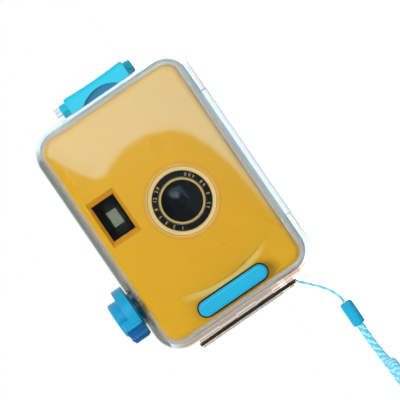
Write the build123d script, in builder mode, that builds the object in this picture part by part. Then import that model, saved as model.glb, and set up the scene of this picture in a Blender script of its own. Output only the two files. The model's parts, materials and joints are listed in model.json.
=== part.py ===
"""A reusable film camera in its clear underwater housing, piece by piece.

Millimetres. +X is the side with the latch, -Y is the side with the lens and
+Z is up. The origin lies on the underside of the housing's foot.
"""

from build123d import *
import math
import os

os.makedirs("parts", exist_ok=True)

# Clearances, and how far a cut or a joining block runs past a face
tight_gap = 0.02
fit_gap = 0.05
running_gap = 0.06
free_gap = 0.2
past = 1.0

# The camera inside, which sets the size of the housing
camera_width = 110.4
camera_height = 73.6
camera_depth = 34.0
camera_corner = 7.0
camera_wall = 1.8
cover_depth = 10.8
back_depth = 7.2
cover_edge = 3.0
back_edge = 2.0
top_block = 17.0
body_sink = 0.5
screw_inset_x = 6.2
screw_inset_z = 3.75
screw_boss_radius = 2.3
screw_head_radius = 1.8
screw_head_thick = 1.2
screw_radius = 1.1

# The two clear shells
side_gap = 0.65
roof_gap = 0.3
front_gap = 0.6
rest_rib = 1.0
rest_rib_width = 3.0
rest_rib_spread = 36.0
case_wall = 2.2
front_wall = 2.6
case_edge = 4.0
tub_depth = 31.0
flange_lip = 2.95
flange_thick = 2.4
seam_gap = 0.1
door_trim = 0.4
pad_thick = 4.3
pad_gap = 0.3
pad_inset = 9.0
pad_top_inset = 14.5
foot_width = 70.0
foot_front = 19.0

# The rubber seal between the shells
seal_width = 1.7
seal_depth = 1.6
seal_side_gap = 0.05
seal_offset = 1.5

# The door's hinge
hinge_radius = 2.0
hinge_gap = 0.3
hinge_low = 16.0
knuckle_heights = (11.4, 9.7, 10.6, 9.7, 11.4)
knuckle_gap = 0.1
hinge_pin_radius = 0.9
hinge_pin_over = 0.8

# The snap latch
latch_x_gap = 6.55
latch_y_from_rear = 6.0
lever_corner = 2.0
lever_rake = 0.3
latch_barrel_radius = 3.4
latch_length = 40.5
lever_length = 32.7
latch_mid_z = 41.95
latch_pin_radius = 1.2
ear_thick = 2.6
ear_gap = 0.2
ear_trim = 0.2
lever_front_y = 1.2
lever_outer_x = 68.7
hook_reach = 60.5
hook_thick = 3.5
hook_gap = 0.3
arm_inner_gap = 0.4
notch_chord = 20.1
notch_depth = 3.7
notch_sink = 2.9
lever_waist = 0.7
lever_edge = 1.2
lever_barrel_edge = 0.6
catch_out = 1.6
catch_thick = 4.0
catch_length = 41.0

# The winding knob and its gland
knob_x = -31.8
knob_y = -2.6
knob_radius = 13.1
knob_low = 85.5
knob_disc = 5.1
hub_radius = 8.8
hub_top = 95.8
lobe_top = 94.6
hub_edge = 1.0
knob_edge = 1.6
flute_radius = 3.2
flute_out = 1.8
flute_angles = (229.2, 202.5)
skirt_radius = 8.4
skirt_gap = 0.35
lobe_start = 170.0
lobe_end = 263.0
rib_angles = (242.5, 216.0, 189.0)
rib_radius = 0.9
rib_sink = 0.35
rib_ends = 0.8
boss_radius = 9.8
boss_top = 84.4
turret_radius = 7.0
turret_top = 90.3
turret_gap = 0.5
knob_roof_gap = 0.6
knob_crown = 1.8
shaft_radius = 3.0
shaft_groove = 0.6
knob_lift = 3.9
clip_radius = 4.3
clip_thick = 0.8
clip_sink = 0.5
clip_gap = 0.3
ring_section = 0.9
gland_cap = 1.2
tang_thick = 1.6
tang_length = 3.4
tang_inset = 0.25
tang_root = 0.3

# The trigger bar
trigger_x = -49.4
trigger_z = 42.7
trigger_width = 7.4
trigger_length = 36.8
trigger_front = 5.0
trigger_rear = 1.9
trigger_edge = 1.8
boot_margin = 0.7
boot_gap = 0.15
boot_floor = 0.3
stem_radius = 1.2
stem_spread = 20.0
stem_seat = 0.6
push_foot_radius = 2.5
push_foot_sink = 1.2
push_foot_gap = 0.3
button_width = 6.0
button_length = 26.0
button_lip = 1.0
button_edge = 0.3
button_gap = 0.15
spring_wire = 0.5
spring_radius = 1.95
spring_turns = 4
spring_pocket = 1.9
spring_slack = 0.1

# The lens and its name ring
lens_x = -2.2
lens_z = 38.7
port_radius = 17.4
port_rise = 0.8
bezel_radius = 16.9
name_ring_radius = 14.2
name_ring_sink = 0.9
name_ring_thick = 0.8
trim_radius = 10.8
trim_bore = 9.8
trim_thick = 2.2
trim_rise = 0.3
trim_step = 1.0
barrel_radius = 11.8
barrel_rear = -9.9
front_lens_radius = 9.6
front_lens_thick = 1.4
front_lens_rise = 1.5
rear_lens_radius = 4.0
rear_lens_y = -12.6
rear_lens_thick = 1.2
rear_lens_rise = 0.4
rear_seat = 0.5
barrel_lip = 0.1
barrel_plate = 0.6
barrel_skirt = 1.2
cone_depth = 0.4
arm_width = 2.6
arm_thick = 0.8
arm_top = 66.0
stop_radius = 1.6

# The shutter
shutter_plate_size = 32.0
shutter_plate_thick = 0.8
shutter_bore_radius = 3.1
blade_thick = 0.3
blade_gap = 0.15
blade_hub_radius = 2.2
blade_pin_radius = 1.0
pivot_out = 8.0
blade_tip = ((-3.4, 1.2), (-2.4, -2.8), (1.6, -3.4))

# The viewfinder
finder_x = 9.3
finder_z = 69.3
finder_width = 18.8
finder_height = 12.0
finder_frame_width = 23.8
finder_frame_height = 15.2
finder_sink = 1.4
finder_pane = 1.0
eyepiece_width = 7.9
eyepiece_height = 5.2
eyepiece_thick = 1.2
tunnel_wall = 0.9
tunnel_rim = 1.0
pane_gap = 0.05

# The grip scoop in the camera's cover
scoop_radius = 61.0
scoop_x = 18.2
scoop_z = 41.5
scoop_half = 24.0
scoop_depth = 1.5

# Film path
film_height = 35.0
frame_width = 36.0
frame_height = 24.0
film_thick = 0.2
film_gap = 0.05
film_end = 1.0
film_tail = 3.0
cartridge_x = 37.9
cartridge_radius = 12.5
cartridge_height = 42.5
cartridge_shell = 0.6
cartridge_cap = 1.2
cartridge_lip = 2.0
lip_half = 1.3
slot_gap = 0.15
chamber_gap = 0.4
chamber_wall = 1.0
chamber_foot = 3.5
chamber_head = 6.0
cartridge_foot = 5.0
spool_chamber_wall = 1.2
spool_space = 2.5
mouth_margin = 3.0
gate_wall_thick = 1.5
gate_share = 3.0
spool_radius = 6.0
spool_flange_radius = 11.2
spool_shaft_radius = 2.6
spool_head_radius = 4.5
spool_head_foot = 1.5
spool_flange = 1.0
ratchet_radius = 12.0
ratchet_teeth = 24
ratchet_low = 66.5
ratchet_thick = 3.0
ratchet_notch = (1.2, 1.4)
ratchet_gap = 0.5
pawl_thick = 0.7
pawl_length = 9.0
pawl_foot = 5.0
pawl_gap = 0.3
sprocket_x = -14.0
sprocket_radius = 5.0
sprocket_tip = 6.2
sprocket_teeth = 8
sprocket_thick = 2.4
tooth_width = 1.2
tooth_height = 1.4
sprocket_room = 1.5
sprocket_shaft_over = 3.0
counter_x = -10.5
counter_radius = 8.5
counter_thick = 0.8
counter_y = 4.0
counter_pin_radius = 1.0
counter_window_radius = 2.6
sprocket_shaft_radius = 1.5
crank_shaft_radius = 2.0
core_radius = 5.7
core_over = 1.5
crank_shaft_reach = 4.0
perforation_pitch = 4.75
perforation_count = 9
perforation_width = 2.8
perforation_height = 2.0
perforation_row = 2.0
press_margin_width = 8.0
press_margin_height = 9.0
press_thick = 0.8
press_gap = 0.1
press_spring_width = 28.0
press_spring_height = 8.0
press_spring_sheet = 0.3
press_spring_foot = 1.0
catch_plate_thick = 1.2
catch_plate_reach = 4.0
catch_plate_half = 6.0
crank_radius = 9.0
crank_gap = 0.4
crank_floor_gap = 0.2
crank_thick = 1.6
crank_sink = 1.0
crank_grip_inset = 1.5
crank_grip_half = 1.8
crank_knob_radius = 1.6
crank_knob_inset = 3.5

# The wrist strap
lug_x_out = 4.95
lug_y = -9.5
lug_z = 16.0
lug_radius = 4.2
lug_thick = 3.4
lug_bore = 1.9
tie_radius = 0.7
tie_half_width = 3.2
ferrule_near = 84.0
ferrule_length = 12.0
ferrule_width = 10.5
ferrule_height = 6.0
ferrule_lift = 0.05
ferrule_edge = 0.8
tie_run = 7.0
tie_bend_wide = 8.0
cord_radius = 2.0
cord_split = 2.3

# Places that follow from the sizes above
cavity_width = camera_width + 2 * side_gap
cavity_height = camera_height + rest_rib + roof_gap
cavity_corner = camera_corner + 2 * side_gap
case_width = cavity_width + 2 * case_wall
case_height = cavity_height + 2 * case_wall
case_corner = cavity_corner + case_wall
case_depth = front_wall + front_gap + camera_depth + pad_gap + pad_thick + case_wall
flange_width = case_width + 2 * flange_lip
flange_height = case_height + 2 * flange_lip
flange_corner = case_corner + flange_lip
mid_z = flange_height / 2
front_y = -case_depth / 2
rear_y = case_depth / 2
seam_y = front_y + tub_depth
inner_front = front_y + front_wall
inner_rear = rear_y - case_wall
cavity_floor = mid_z - cavity_height / 2
cavity_roof = mid_z + cavity_height / 2
case_top = mid_z + case_height / 2
case_bottom = mid_z - case_height / 2
case_side = case_width / 2
camera_front = inner_front + front_gap
camera_rear = camera_front + camera_depth
camera_base = cavity_floor + rest_rib
camera_top = camera_base + camera_height
camera_mid = camera_base + camera_height / 2
cover_seam = camera_front + cover_depth
back_seam = camera_rear - back_depth
top_block_low = camera_top - top_block
back_top = top_block_low - free_gap
hinge_x = -(flange_width / 2 + hinge_radius + hinge_gap)
hinge_y = seam_y + seam_gap / 2
latch_x = case_side + latch_x_gap
latch_y = rear_y - latch_y_from_rear
knob_place = (knob_x, knob_y)
film_plane = back_seam + film_gap
film_low = lens_z - film_height / 2
film_high = lens_z + film_height / 2
counter_low = camera_top - camera_wall - counter_thick - tang_root
counter_place = (counter_x, counter_y)
counter_window_place = (counter_x, counter_y - counter_radius + counter_window_radius + past)
sprocket_y = film_plane - sprocket_tip - slot_gap
cartridge_place = (cartridge_x, knob_y)
cartridge_low = film_low - 3.75
cartridge_high = cartridge_low + cartridge_height
crank_low = camera_top - crank_thick - crank_sink
spool_top = camera_top - tang_root
finder_place = (finder_x, finder_z)
lens_place = (lens_x, lens_z)
trigger_place = (trigger_x, trigger_z)
stem_places = [(trigger_x, trigger_z + side * stem_spread / 2) for side in (-1, 1)]
lug_x = -(case_side + lug_x_out)
screw_x = camera_width / 2 - screw_inset_x
screw_places = [
    (side * screw_x, z)
    for side in (-1, 1)
    for z in (camera_base + screw_inset_z, camera_top - screw_inset_z)
]


def facing(y):
    """A sketch plane at depth y, seen from the lens side."""
    return Plane(origin=(0, y, 0), x_dir=(1, 0, 0), z_dir=(0, -1, 0))


def slab(width, height, corner, front, back, middle=None, mode=Mode.ADD):
    """A plate with rounded corners, from one depth to another."""
    with BuildSketch(facing(back)) as outline:
        with Locations(middle or (0, mid_z)):
            RectangleRounded(width, height, corner)
    extrude(outline.sketch, amount=back - front, mode=mode)


def plate(width, height, front, back, middle, mode=Mode.ADD):
    """A plate with square corners, from one depth to another."""
    with BuildSketch(facing(back)) as outline:
        with Locations(middle):
            Rectangle(width, height)
    extrude(outline.sketch, amount=back - front, mode=mode)


def capsule(width, height, front, back, middle, mode=Mode.ADD):
    """An upright plate with round ends, from one depth to another."""
    with BuildSketch(facing(back)) as outline:
        with Locations(middle):
            SlotOverall(height, width, rotation=90)
    extrude(outline.sketch, amount=back - front, mode=mode)


def disc(radius, front, back, middle, mode=Mode.ADD):
    """A round along Y, from one depth to another."""
    with BuildSketch(facing(back)) as outline:
        with Locations(middle):
            Circle(radius)
    extrude(outline.sketch, amount=back - front, mode=mode)


def post(radius, low, high, place, mode=Mode.ADD):
    """An upright round, from one height to another."""
    with BuildSketch(Plane.XY.offset(low)) as outline:
        with Locations(place):
            Circle(radius)
    extrude(outline.sketch, amount=high - low, mode=mode)


def block(x, y, z, mode=Mode.ADD):
    """A square block between two limits on each axis."""
    with Locations(((x[0] + x[1]) / 2, (y[0] + y[1]) / 2, (z[0] + z[1]) / 2)):
        Box(x[1] - x[0], y[1] - y[0], z[1] - z[0], mode=mode)


def turned_on_lens(points, mode=Mode.ADD):
    """A piece turned about the lens axis from (radius, depth) points."""
    with BuildSketch(Plane(origin=(lens_x, 0, lens_z), x_dir=(1, 0, 0), z_dir=(0, 0, 1))) as half:
        with BuildLine():
            Polyline(*points, close=True)
        make_face()
    revolve(half.sketch, axis=Axis((lens_x, 0, lens_z), (0, 1, 0)), mode=mode)


def save(builder, name):
    """Labels a finished piece and writes it."""
    builder.part.label = name
    export_step(builder.part, f"parts/{name}.step")


def knuckle_spans():
    """The low and high ends of the hinge's knuckles, from the bottom up."""
    spans = []
    low = hinge_low
    for height in knuckle_heights:
        spans.append((low, low + height))
        low += height + knuckle_gap
    return spans


def knuckle(span, arm_front, arm_back, arm_end):
    """One hinge knuckle with the arm that joins it to its shell."""
    post(hinge_radius, span[0], span[1], (hinge_x, hinge_y))
    block((hinge_x, arm_end), (arm_front, arm_back), span)


# The front shell: a deep tub with the flange, foot, port, catch and knuckles
catch_front = seam_y - catch_thick
catch_x = flange_width / 2 + catch_out
gland_low = cavity_roof
clip_low = gland_low + clip_sink
clip_high = clip_low + clip_thick
gland_step = clip_high + knob_lift + free_gap
ring_seat = shaft_radius + running_gap + 2 * ring_section + fit_gap
ring_high = turret_top - gland_cap
ring_low = ring_high - 2 * ring_section - 2 * fit_gap
seal_mid_width = cavity_width + 2 * (seal_offset + seal_width / 2)
seal_mid_height = cavity_height + 2 * (seal_offset + seal_width / 2)
seal_mid_corner = cavity_corner + seal_offset + seal_width / 2

with BuildPart() as case_front:
    slab(case_width, case_height, case_corner, front_y, seam_y)
    fillet(case_front.edges().group_by(Axis.Y)[0], radius=case_edge)
    slab(flange_width, flange_height, flange_corner, seam_y - flange_thick, seam_y)
    disc(port_radius, front_y - port_rise, front_y + port_rise, lens_place)
    fillet(case_front.edges().group_by(Axis.Y)[0], radius=port_rise * 0.6)
    post(boss_radius, case_top - past, boss_top, knob_place)
    post(skirt_radius + skirt_gap, case_top, boss_top, knob_place, Mode.SUBTRACT)
    post(turret_radius, case_top - past, turret_top, knob_place)
    block((-foot_width / 2, foot_width / 2), (-foot_front, seam_y), (0, case_bottom + past))
    block(
        (case_side - past, catch_x),
        (catch_front, seam_y),
        (latch_mid_z - catch_length / 2, latch_mid_z + catch_length / 2),
    )
    for span in knuckle_spans()[::2]:
        knuckle(span, hinge_y - hinge_radius, seam_y, -flange_width / 2 + past / 2)
    block(
        (lug_x, -case_side + past),
        (lug_y - lug_thick / 2, lug_y + lug_thick / 2),
        (lug_z - lug_radius, lug_z + lug_radius),
    )
    disc(lug_radius, lug_y - lug_thick / 2, lug_y + lug_thick / 2, (lug_x, lug_z))
    disc(lug_bore, lug_y - lug_thick, lug_y + lug_thick, (lug_x, lug_z), Mode.SUBTRACT)
    slab(
        seal_mid_width + seal_width,
        seal_mid_height + seal_width,
        seal_mid_corner + seal_width / 2,
        seam_y - seal_depth,
        seam_y,
        None,
        Mode.SUBTRACT,
    )
    slab(
        seal_mid_width - seal_width,
        seal_mid_height - seal_width,
        seal_mid_corner - seal_width / 2,
        seam_y - seal_depth,
        seam_y,
    )
    slab(cavity_width, cavity_height, cavity_corner, inner_front, seam_y, None, Mode.SUBTRACT)
    for side in (-1, 1):
        middle = side * rest_rib_spread
        block(
            (middle - rest_rib_width / 2, middle + rest_rib_width / 2),
            (inner_front, seam_y),
            (cavity_floor - past / 2, camera_base),
        )
    post(shaft_radius + running_gap, cavity_roof, turret_top, knob_place, Mode.SUBTRACT)
    post(clip_radius + clip_gap, cavity_roof - past, gland_step, knob_place, Mode.SUBTRACT)
    post(ring_seat, ring_low, ring_high, knob_place, Mode.SUBTRACT)
    for place in stem_places:
        disc(stem_radius + running_gap, front_y, inner_front, place, Mode.SUBTRACT)
        disc(
            push_foot_radius + push_foot_gap,
            inner_front - push_foot_sink,
            inner_front,
            place,
            Mode.SUBTRACT,
        )
    post(
        hinge_pin_radius + tight_gap,
        hinge_low - past,
        knuckle_spans()[-1][1] + past,
        (hinge_x, hinge_y),
        Mode.SUBTRACT,
    )
save(case_front, "case_front")

with BuildPart() as case_seal:
    slab(
        seal_mid_width + seal_width - 2 * seal_side_gap,
        seal_mid_height + seal_width - 2 * seal_side_gap,
        seal_mid_corner + seal_width / 2 - seal_side_gap,
        seam_y - seal_depth,
        seam_y,
    )
    slab(
        seal_mid_width - seal_width + 2 * seal_side_gap,
        seal_mid_height - seal_width + 2 * seal_side_gap,
        seal_mid_corner - seal_width / 2 + seal_side_gap,
        seam_y - seal_depth,
        seam_y,
        None,
        Mode.SUBTRACT,
    )
save(case_seal, "case_seal")

# The rear shell: a shallow door with its knuckles and the latch's ears
door_front = seam_y + seam_gap
ear_span = latch_length / 2 + ear_gap
ear_radius = latch_barrel_radius - ear_trim
with BuildPart() as case_door:
    slab(case_width, case_height, case_corner, door_front, rear_y)
    fillet(case_door.edges().group_by(Axis.Y)[-1], radius=case_edge)
    slab(
        flange_width - 2 * door_trim,
        flange_height - 2 * door_trim,
        flange_corner - door_trim,
        door_front,
        door_front + flange_thick,
    )
    for span in knuckle_spans()[1::2]:
        knuckle(span, door_front, hinge_y + hinge_radius, -flange_width / 2 + 2 * door_trim)
    for side in (-1, 1):
        near = latch_mid_z + side * ear_span
        far = near + side * ear_thick
        low, high = min(near, far), max(near, far)
        post(ear_radius, low, high, (latch_x, latch_y))
        block((case_side - past, latch_x), (latch_y - ear_radius, latch_y + ear_radius), (low, high))
    slab(cavity_width, cavity_height, cavity_corner, door_front, inner_rear, None, Mode.SUBTRACT)
    post(
        hinge_pin_radius + running_gap,
        hinge_low - past,
        knuckle_spans()[-1][1] + past,
        (hinge_x, hinge_y),
        Mode.SUBTRACT,
    )
    post(
        latch_pin_radius + tight_gap,
        latch_mid_z - ear_span - ear_thick,
        latch_mid_z + ear_span + ear_thick,
        (latch_x, latch_y),
        Mode.SUBTRACT,
    )
save(case_door, "case_door")

with BuildPart() as hinge_pin:
    post(
        hinge_pin_radius,
        hinge_low - hinge_pin_over,
        knuckle_spans()[-1][1] + hinge_pin_over,
        (hinge_x, hinge_y),
    )
save(hinge_pin, "hinge_pin")

with BuildPart() as door_pad:
    slab(
        camera_width - 2 * pad_inset,
        camera_height - pad_inset - pad_top_inset,
        camera_corner,
        inner_rear - pad_thick,
        inner_rear,
        (0, camera_mid - (pad_top_inset - pad_inset) / 2),
    )
save(door_pad, "door_pad")

# The snap latch: a lever that turns on the door and hooks over the catch
hook_back = catch_front - hook_gap
arm_inner = catch_x + arm_inner_gap
waist_radius = (lever_length**2 / 4 + lever_waist**2) / (2 * lever_waist)
notch_radius = (notch_chord**2 / 4 + notch_depth**2) / (2 * notch_depth)
with BuildPart() as latch_lever:
    with BuildSketch(Plane.XY.offset(latch_mid_z - lever_length / 2)) as side_view:
        with BuildLine():
            Polyline(
                (hook_reach, lever_front_y),
                (lever_outer_x - lever_rake, lever_front_y),
                (lever_outer_x, lever_front_y + hook_thick),
                (latch_x + latch_barrel_radius, latch_y),
                (latch_x - latch_barrel_radius + past, latch_y),
                (arm_inner, latch_y - latch_barrel_radius),
                (arm_inner, hook_back),
                (hook_reach, hook_back),
                close=True,
            )
        make_face()
        fillet(
            side_view.vertices().group_by(Axis.Y)[0].sort_by(Axis.X)[-1:],
            radius=lever_corner,
        )
    extrude(side_view.sketch, amount=lever_length)
    disc(
        waist_radius,
        lever_front_y - past,
        latch_y + latch_barrel_radius,
        (lever_outer_x + waist_radius - lever_waist, latch_mid_z),
        Mode.SUBTRACT,
    )
    slab(
        2 * (lever_outer_x - hook_reach),
        lever_length,
        lever_edge,
        lever_front_y,
        latch_y + latch_barrel_radius,
        (hook_reach, latch_mid_z),
        Mode.INTERSECT,
    )
    post(
        latch_barrel_radius,
        latch_mid_z - latch_length / 2,
        latch_mid_z + latch_length / 2,
        (latch_x, latch_y),
    )
    fillet(latch_lever.edges().group_by(Axis.Z)[0], radius=lever_barrel_edge)
    fillet(latch_lever.edges().group_by(Axis.Z)[-1], radius=lever_barrel_edge)
    disc(
        notch_radius,
        lever_front_y,
        lever_front_y + notch_sink,
        (hook_reach + notch_depth - notch_radius, latch_mid_z),
        Mode.SUBTRACT,
    )
    post(
        latch_pin_radius + running_gap,
        latch_mid_z - latch_length / 2,
        latch_mid_z + latch_length / 2,
        (latch_x, latch_y),
        Mode.SUBTRACT,
    )
save(latch_lever, "latch_lever")

with BuildPart() as latch_pin:
    post(
        latch_pin_radius,
        latch_mid_z - ear_span - ear_thick,
        latch_mid_z + ear_span + ear_thick,
        (latch_x, latch_y),
    )
save(latch_pin, "latch_pin")

# The winding knob, hollow below for the gland's turret
knob_roof = turret_top + knob_roof_gap
skirt_low = case_top + skirt_gap
shaft_top = hub_top - knob_crown
shaft_low = camera_top - tang_length
with BuildPart() as winding_knob:
    post(knob_radius, knob_low, knob_low + knob_disc, knob_place)
    with BuildSketch(Plane.XY.offset(knob_low + knob_disc)) as lobe:
        with Locations(knob_place):
            Circle(knob_radius)
        with BuildLine():
            reach = 2 * knob_radius
            start = Vector(knob_x, knob_y) + Vector(reach, 0).rotate(Axis.Z, lobe_start)
            middle = Vector(knob_x, knob_y) + Vector(reach, 0).rotate(
                Axis.Z, (lobe_start + lobe_end) / 2
            )
            end = Vector(knob_x, knob_y) + Vector(reach, 0).rotate(Axis.Z, lobe_end)
            Polyline(knob_place, start, middle * 2 - Vector(knob_x, knob_y), end, close=True)
        make_face(mode=Mode.INTERSECT)
    extrude(lobe.sketch, amount=lobe_top - knob_low - knob_disc)
    fillet(winding_knob.edges().group_by(Axis.Z)[-1], radius=knob_edge)
    for angle in flute_angles:
        spot = Vector(knob_x, knob_y) + Vector(knob_radius + flute_out, 0).rotate(Axis.Z, angle)
        post(flute_radius, knob_low - past, hub_top, (spot.X, spot.Y), Mode.SUBTRACT)
    post(hub_radius, knob_low, hub_top, knob_place)
    fillet(winding_knob.edges().group_by(Axis.Z)[-1], radius=hub_edge)
    post(skirt_radius, skirt_low, knob_low, knob_place)
    for angle in rib_angles:
        spot = Vector(knob_x, knob_y) + Vector(knob_radius - rib_sink, 0).rotate(Axis.Z, angle)
        post(rib_radius, knob_low + rib_ends, lobe_top - rib_ends, (spot.X, spot.Y))
    post(turret_radius + turret_gap, skirt_low, knob_roof, knob_place, Mode.SUBTRACT)
    post(shaft_radius + tight_gap, knob_roof - past, shaft_top, knob_place, Mode.SUBTRACT)
save(winding_knob, "winding_knob")

with BuildPart() as knob_shaft:
    post(shaft_radius, camera_top, shaft_top, knob_place)
    block(
        (knob_x - shaft_radius + tang_inset, knob_x + shaft_radius - tang_inset),
        (knob_y - tang_thick / 2, knob_y + tang_thick / 2),
        (shaft_low, camera_top + tang_root),
    )
    post(shaft_radius + past, clip_low, clip_high, knob_place, Mode.SUBTRACT)
    post(shaft_radius - shaft_groove, clip_low - fit_gap, clip_high + fit_gap, knob_place)
save(knob_shaft, "knob_shaft")

with BuildPart() as shaft_clip:
    post(clip_radius, clip_low, clip_high, knob_place)
    clip_bore = shaft_radius - shaft_groove + running_gap
    post(clip_bore, clip_low, clip_high, knob_place, Mode.SUBTRACT)
save(shaft_clip, "shaft_clip")

with BuildPart() as knob_seal:
    with Locations((knob_x, knob_y, (ring_low + ring_high) / 2)):
        Torus(shaft_radius + running_gap + ring_section, ring_section)
save(knob_seal, "knob_seal")

# The trigger bar, its rubber boot and its stems through the front wall
bar_rear = front_y - trigger_rear
bar_front = front_y - trigger_front
foot_front_y = inner_front - push_foot_sink + 2 * fit_gap
foot_rear_y = inner_front + free_gap
with BuildPart() as trigger_bar:
    capsule(trigger_width, trigger_length, bar_front, bar_rear, trigger_place)
    fillet(trigger_bar.edges().group_by(Axis.Y)[0], radius=trigger_edge)
    for place in stem_places:
        disc(
            spring_radius + spring_wire,
            bar_rear - spring_pocket,
            bar_rear,
            place,
            Mode.SUBTRACT,
        )
        disc(
            stem_radius + tight_gap,
            bar_rear - spring_pocket - stem_seat,
            bar_rear,
            place,
            Mode.SUBTRACT,
        )
save(trigger_bar, "trigger_bar")

with BuildPart() as trigger_boot:
    capsule(
        trigger_width + 2 * boot_margin,
        trigger_length + 2 * boot_margin,
        bar_rear - boot_gap,
        front_y,
        trigger_place,
    )
    capsule(
        trigger_width + 2 * boot_gap,
        trigger_length + 2 * boot_gap,
        bar_rear - boot_gap,
        front_y - boot_floor,
        trigger_place,
        Mode.SUBTRACT,
    )
    for place in stem_places:
        disc(
            stem_radius + running_gap,
            front_y - boot_floor,
            front_y,
            place,
            Mode.SUBTRACT,
        )
save(trigger_boot, "trigger_boot")

with BuildPart() as trigger_stems:
    for place in stem_places:
        disc(
            stem_radius,
            bar_rear - spring_pocket - stem_seat,
            foot_front_y,
            place,
        )
        disc(push_foot_radius, foot_front_y, foot_rear_y, place)
save(trigger_stems, "trigger_stems")

spring_front = bar_rear - spring_pocket + spring_wire / 2
spring_back = front_y - boot_floor - spring_wire / 2
spring_height = spring_back - spring_front - spring_slack
with BuildPart() as trigger_springs:
    for place in stem_places:
        with BuildLine() as coil:
            Helix(
                pitch=spring_height / spring_turns,
                height=spring_height,
                radius=spring_radius,
                center=(place[0], spring_front + spring_slack / 2, place[1]),
                direction=(0, 1, 0),
            )
        with BuildSketch(Plane(origin=coil.line @ 0, z_dir=coil.line % 0)) as wire:
            Circle(spring_wire / 2)
        sweep(wire.sketch, path=coil.line, is_frenet=True)
save(trigger_springs, "trigger_springs")

# The camera's yellow front cover
scoop_axis_y = camera_front + scoop_depth - (scoop_half**2 + scoop_depth**2) / (2 * scoop_depth)
scoop_cut_radius = (scoop_half**2 + scoop_depth**2) / (2 * scoop_depth)
button_front = foot_rear_y + free_gap
button_flange_y = camera_front + camera_wall + scoop_depth
ring_front = camera_front + name_ring_sink
ring_rear = ring_front + name_ring_thick
name_seat_radius = name_ring_radius + 2 * fit_gap
trim_seat_radius = trim_radius + trim_step + 2 * fit_gap
pane_hole = (finder_width + 2 * pane_gap, finder_height + 2 * pane_gap)
with BuildPart() as camera_cover:
    slab(camera_width, camera_height, camera_corner, camera_front, cover_seam, (0, camera_mid))
    fillet(camera_cover.edges().group_by(Axis.Y)[0], radius=cover_edge)
    with BuildSketch(Plane.YZ.offset(-camera_width / 2 - past)) as groove:
        with Locations((scoop_axis_y, scoop_z)):
            Circle(scoop_cut_radius)
    with BuildPart(mode=Mode.PRIVATE) as scoop:
        extrude(groove.sketch, amount=camera_width / 2)
        disc(scoop_radius, camera_front - past, camera_rear, (scoop_x, scoop_z), Mode.SUBTRACT)
    add(scoop.part, mode=Mode.SUBTRACT)
    slab(
        camera_width - 2 * camera_wall,
        camera_height - 2 * camera_wall,
        camera_corner - camera_wall,
        camera_front + camera_wall + scoop_depth,
        cover_seam,
        (0, camera_mid),
        Mode.SUBTRACT,
    )
    slab(
        camera_width / 2 + scoop_radius - scoop_x - 2 * camera_wall,
        camera_height - 2 * camera_wall,
        camera_corner - camera_wall,
        camera_front + camera_wall,
        cover_seam,
        ((camera_width / 2 - scoop_radius + scoop_x) / 2, camera_mid),
        Mode.SUBTRACT,
    )
    for place in screw_places:
        disc(screw_boss_radius, camera_front + camera_wall, cover_seam, place)
        disc(screw_radius, camera_front + camera_wall, cover_seam, place, Mode.SUBTRACT)
    turned_on_lens(
        [
            (0, camera_front - past),
            (bezel_radius, camera_front - past),
            (bezel_radius, camera_front),
            (name_seat_radius, ring_front),
            (name_seat_radius, ring_rear),
            (trim_seat_radius, ring_rear),
            (trim_seat_radius, cover_seam),
            (0, cover_seam),
        ],
        Mode.SUBTRACT,
    )
    with BuildSketch(facing(camera_front)) as frame_outline:
        with Locations(finder_place):
            Rectangle(finder_frame_width, finder_frame_height)
    with BuildSketch(facing(camera_front + finder_sink)) as pane_outline:
        with Locations(finder_place):
            Rectangle(*pane_hole)
    loft([frame_outline.sketch.face(), pane_outline.sketch.face()], mode=Mode.SUBTRACT)
    plate(
        *pane_hole,
        camera_front + finder_sink - 2 * pane_gap,
        cover_seam,
        finder_place,
        Mode.SUBTRACT,
    )
    capsule(
        button_width + 2 * button_gap,
        button_length + 2 * button_gap,
        camera_front,
        cover_seam,
        trigger_place,
        Mode.SUBTRACT,
    )
    post(
        crank_radius + crank_gap,
        crank_low - crank_floor_gap,
        camera_top,
        cartridge_place,
        Mode.SUBTRACT,
    )
save(camera_cover, "camera_cover")

# The name ring, the trim ring, the barrel and the glasses of the lens
with BuildPart() as name_ring:
    turned_on_lens(
        [
            (trim_radius + fit_gap, ring_front),
            (name_ring_radius, ring_front),
            (name_ring_radius, ring_rear),
            (trim_radius + fit_gap, ring_rear),
        ]
    )
save(name_ring, "name_ring")

trim_front = ring_front - trim_rise
with BuildPart() as trim_ring:
    turned_on_lens(
        [
            (trim_bore, trim_front),
            (trim_radius, trim_front),
            (trim_radius, ring_rear),
            (trim_radius + trim_step, ring_rear),
            (trim_radius + trim_step, trim_front + trim_thick),
            (trim_bore, trim_front + trim_thick),
        ]
    )
save(trim_ring, "trim_ring")

barrel_front = trim_front + trim_thick
cone_rear = rear_lens_y - cone_depth
stop_front = barrel_rear - barrel_plate
rear_lens_seat = rear_lens_y + rear_lens_thick
with BuildPart() as lens_barrel:
    turned_on_lens(
        [
            (trim_bore - barrel_lip, barrel_front),
            (barrel_radius, barrel_front),
            (barrel_radius, barrel_rear),
            (stop_radius, barrel_rear),
            (stop_radius, stop_front),
            (rear_lens_radius - rear_seat, stop_front),
            (rear_lens_radius - rear_seat, rear_lens_seat),
            (rear_lens_radius + fit_gap, rear_lens_seat),
            (rear_lens_radius + fit_gap, cone_rear),
            (rear_lens_radius + barrel_skirt, cone_rear),
        ]
    )
save(lens_barrel, "lens_barrel")


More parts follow.
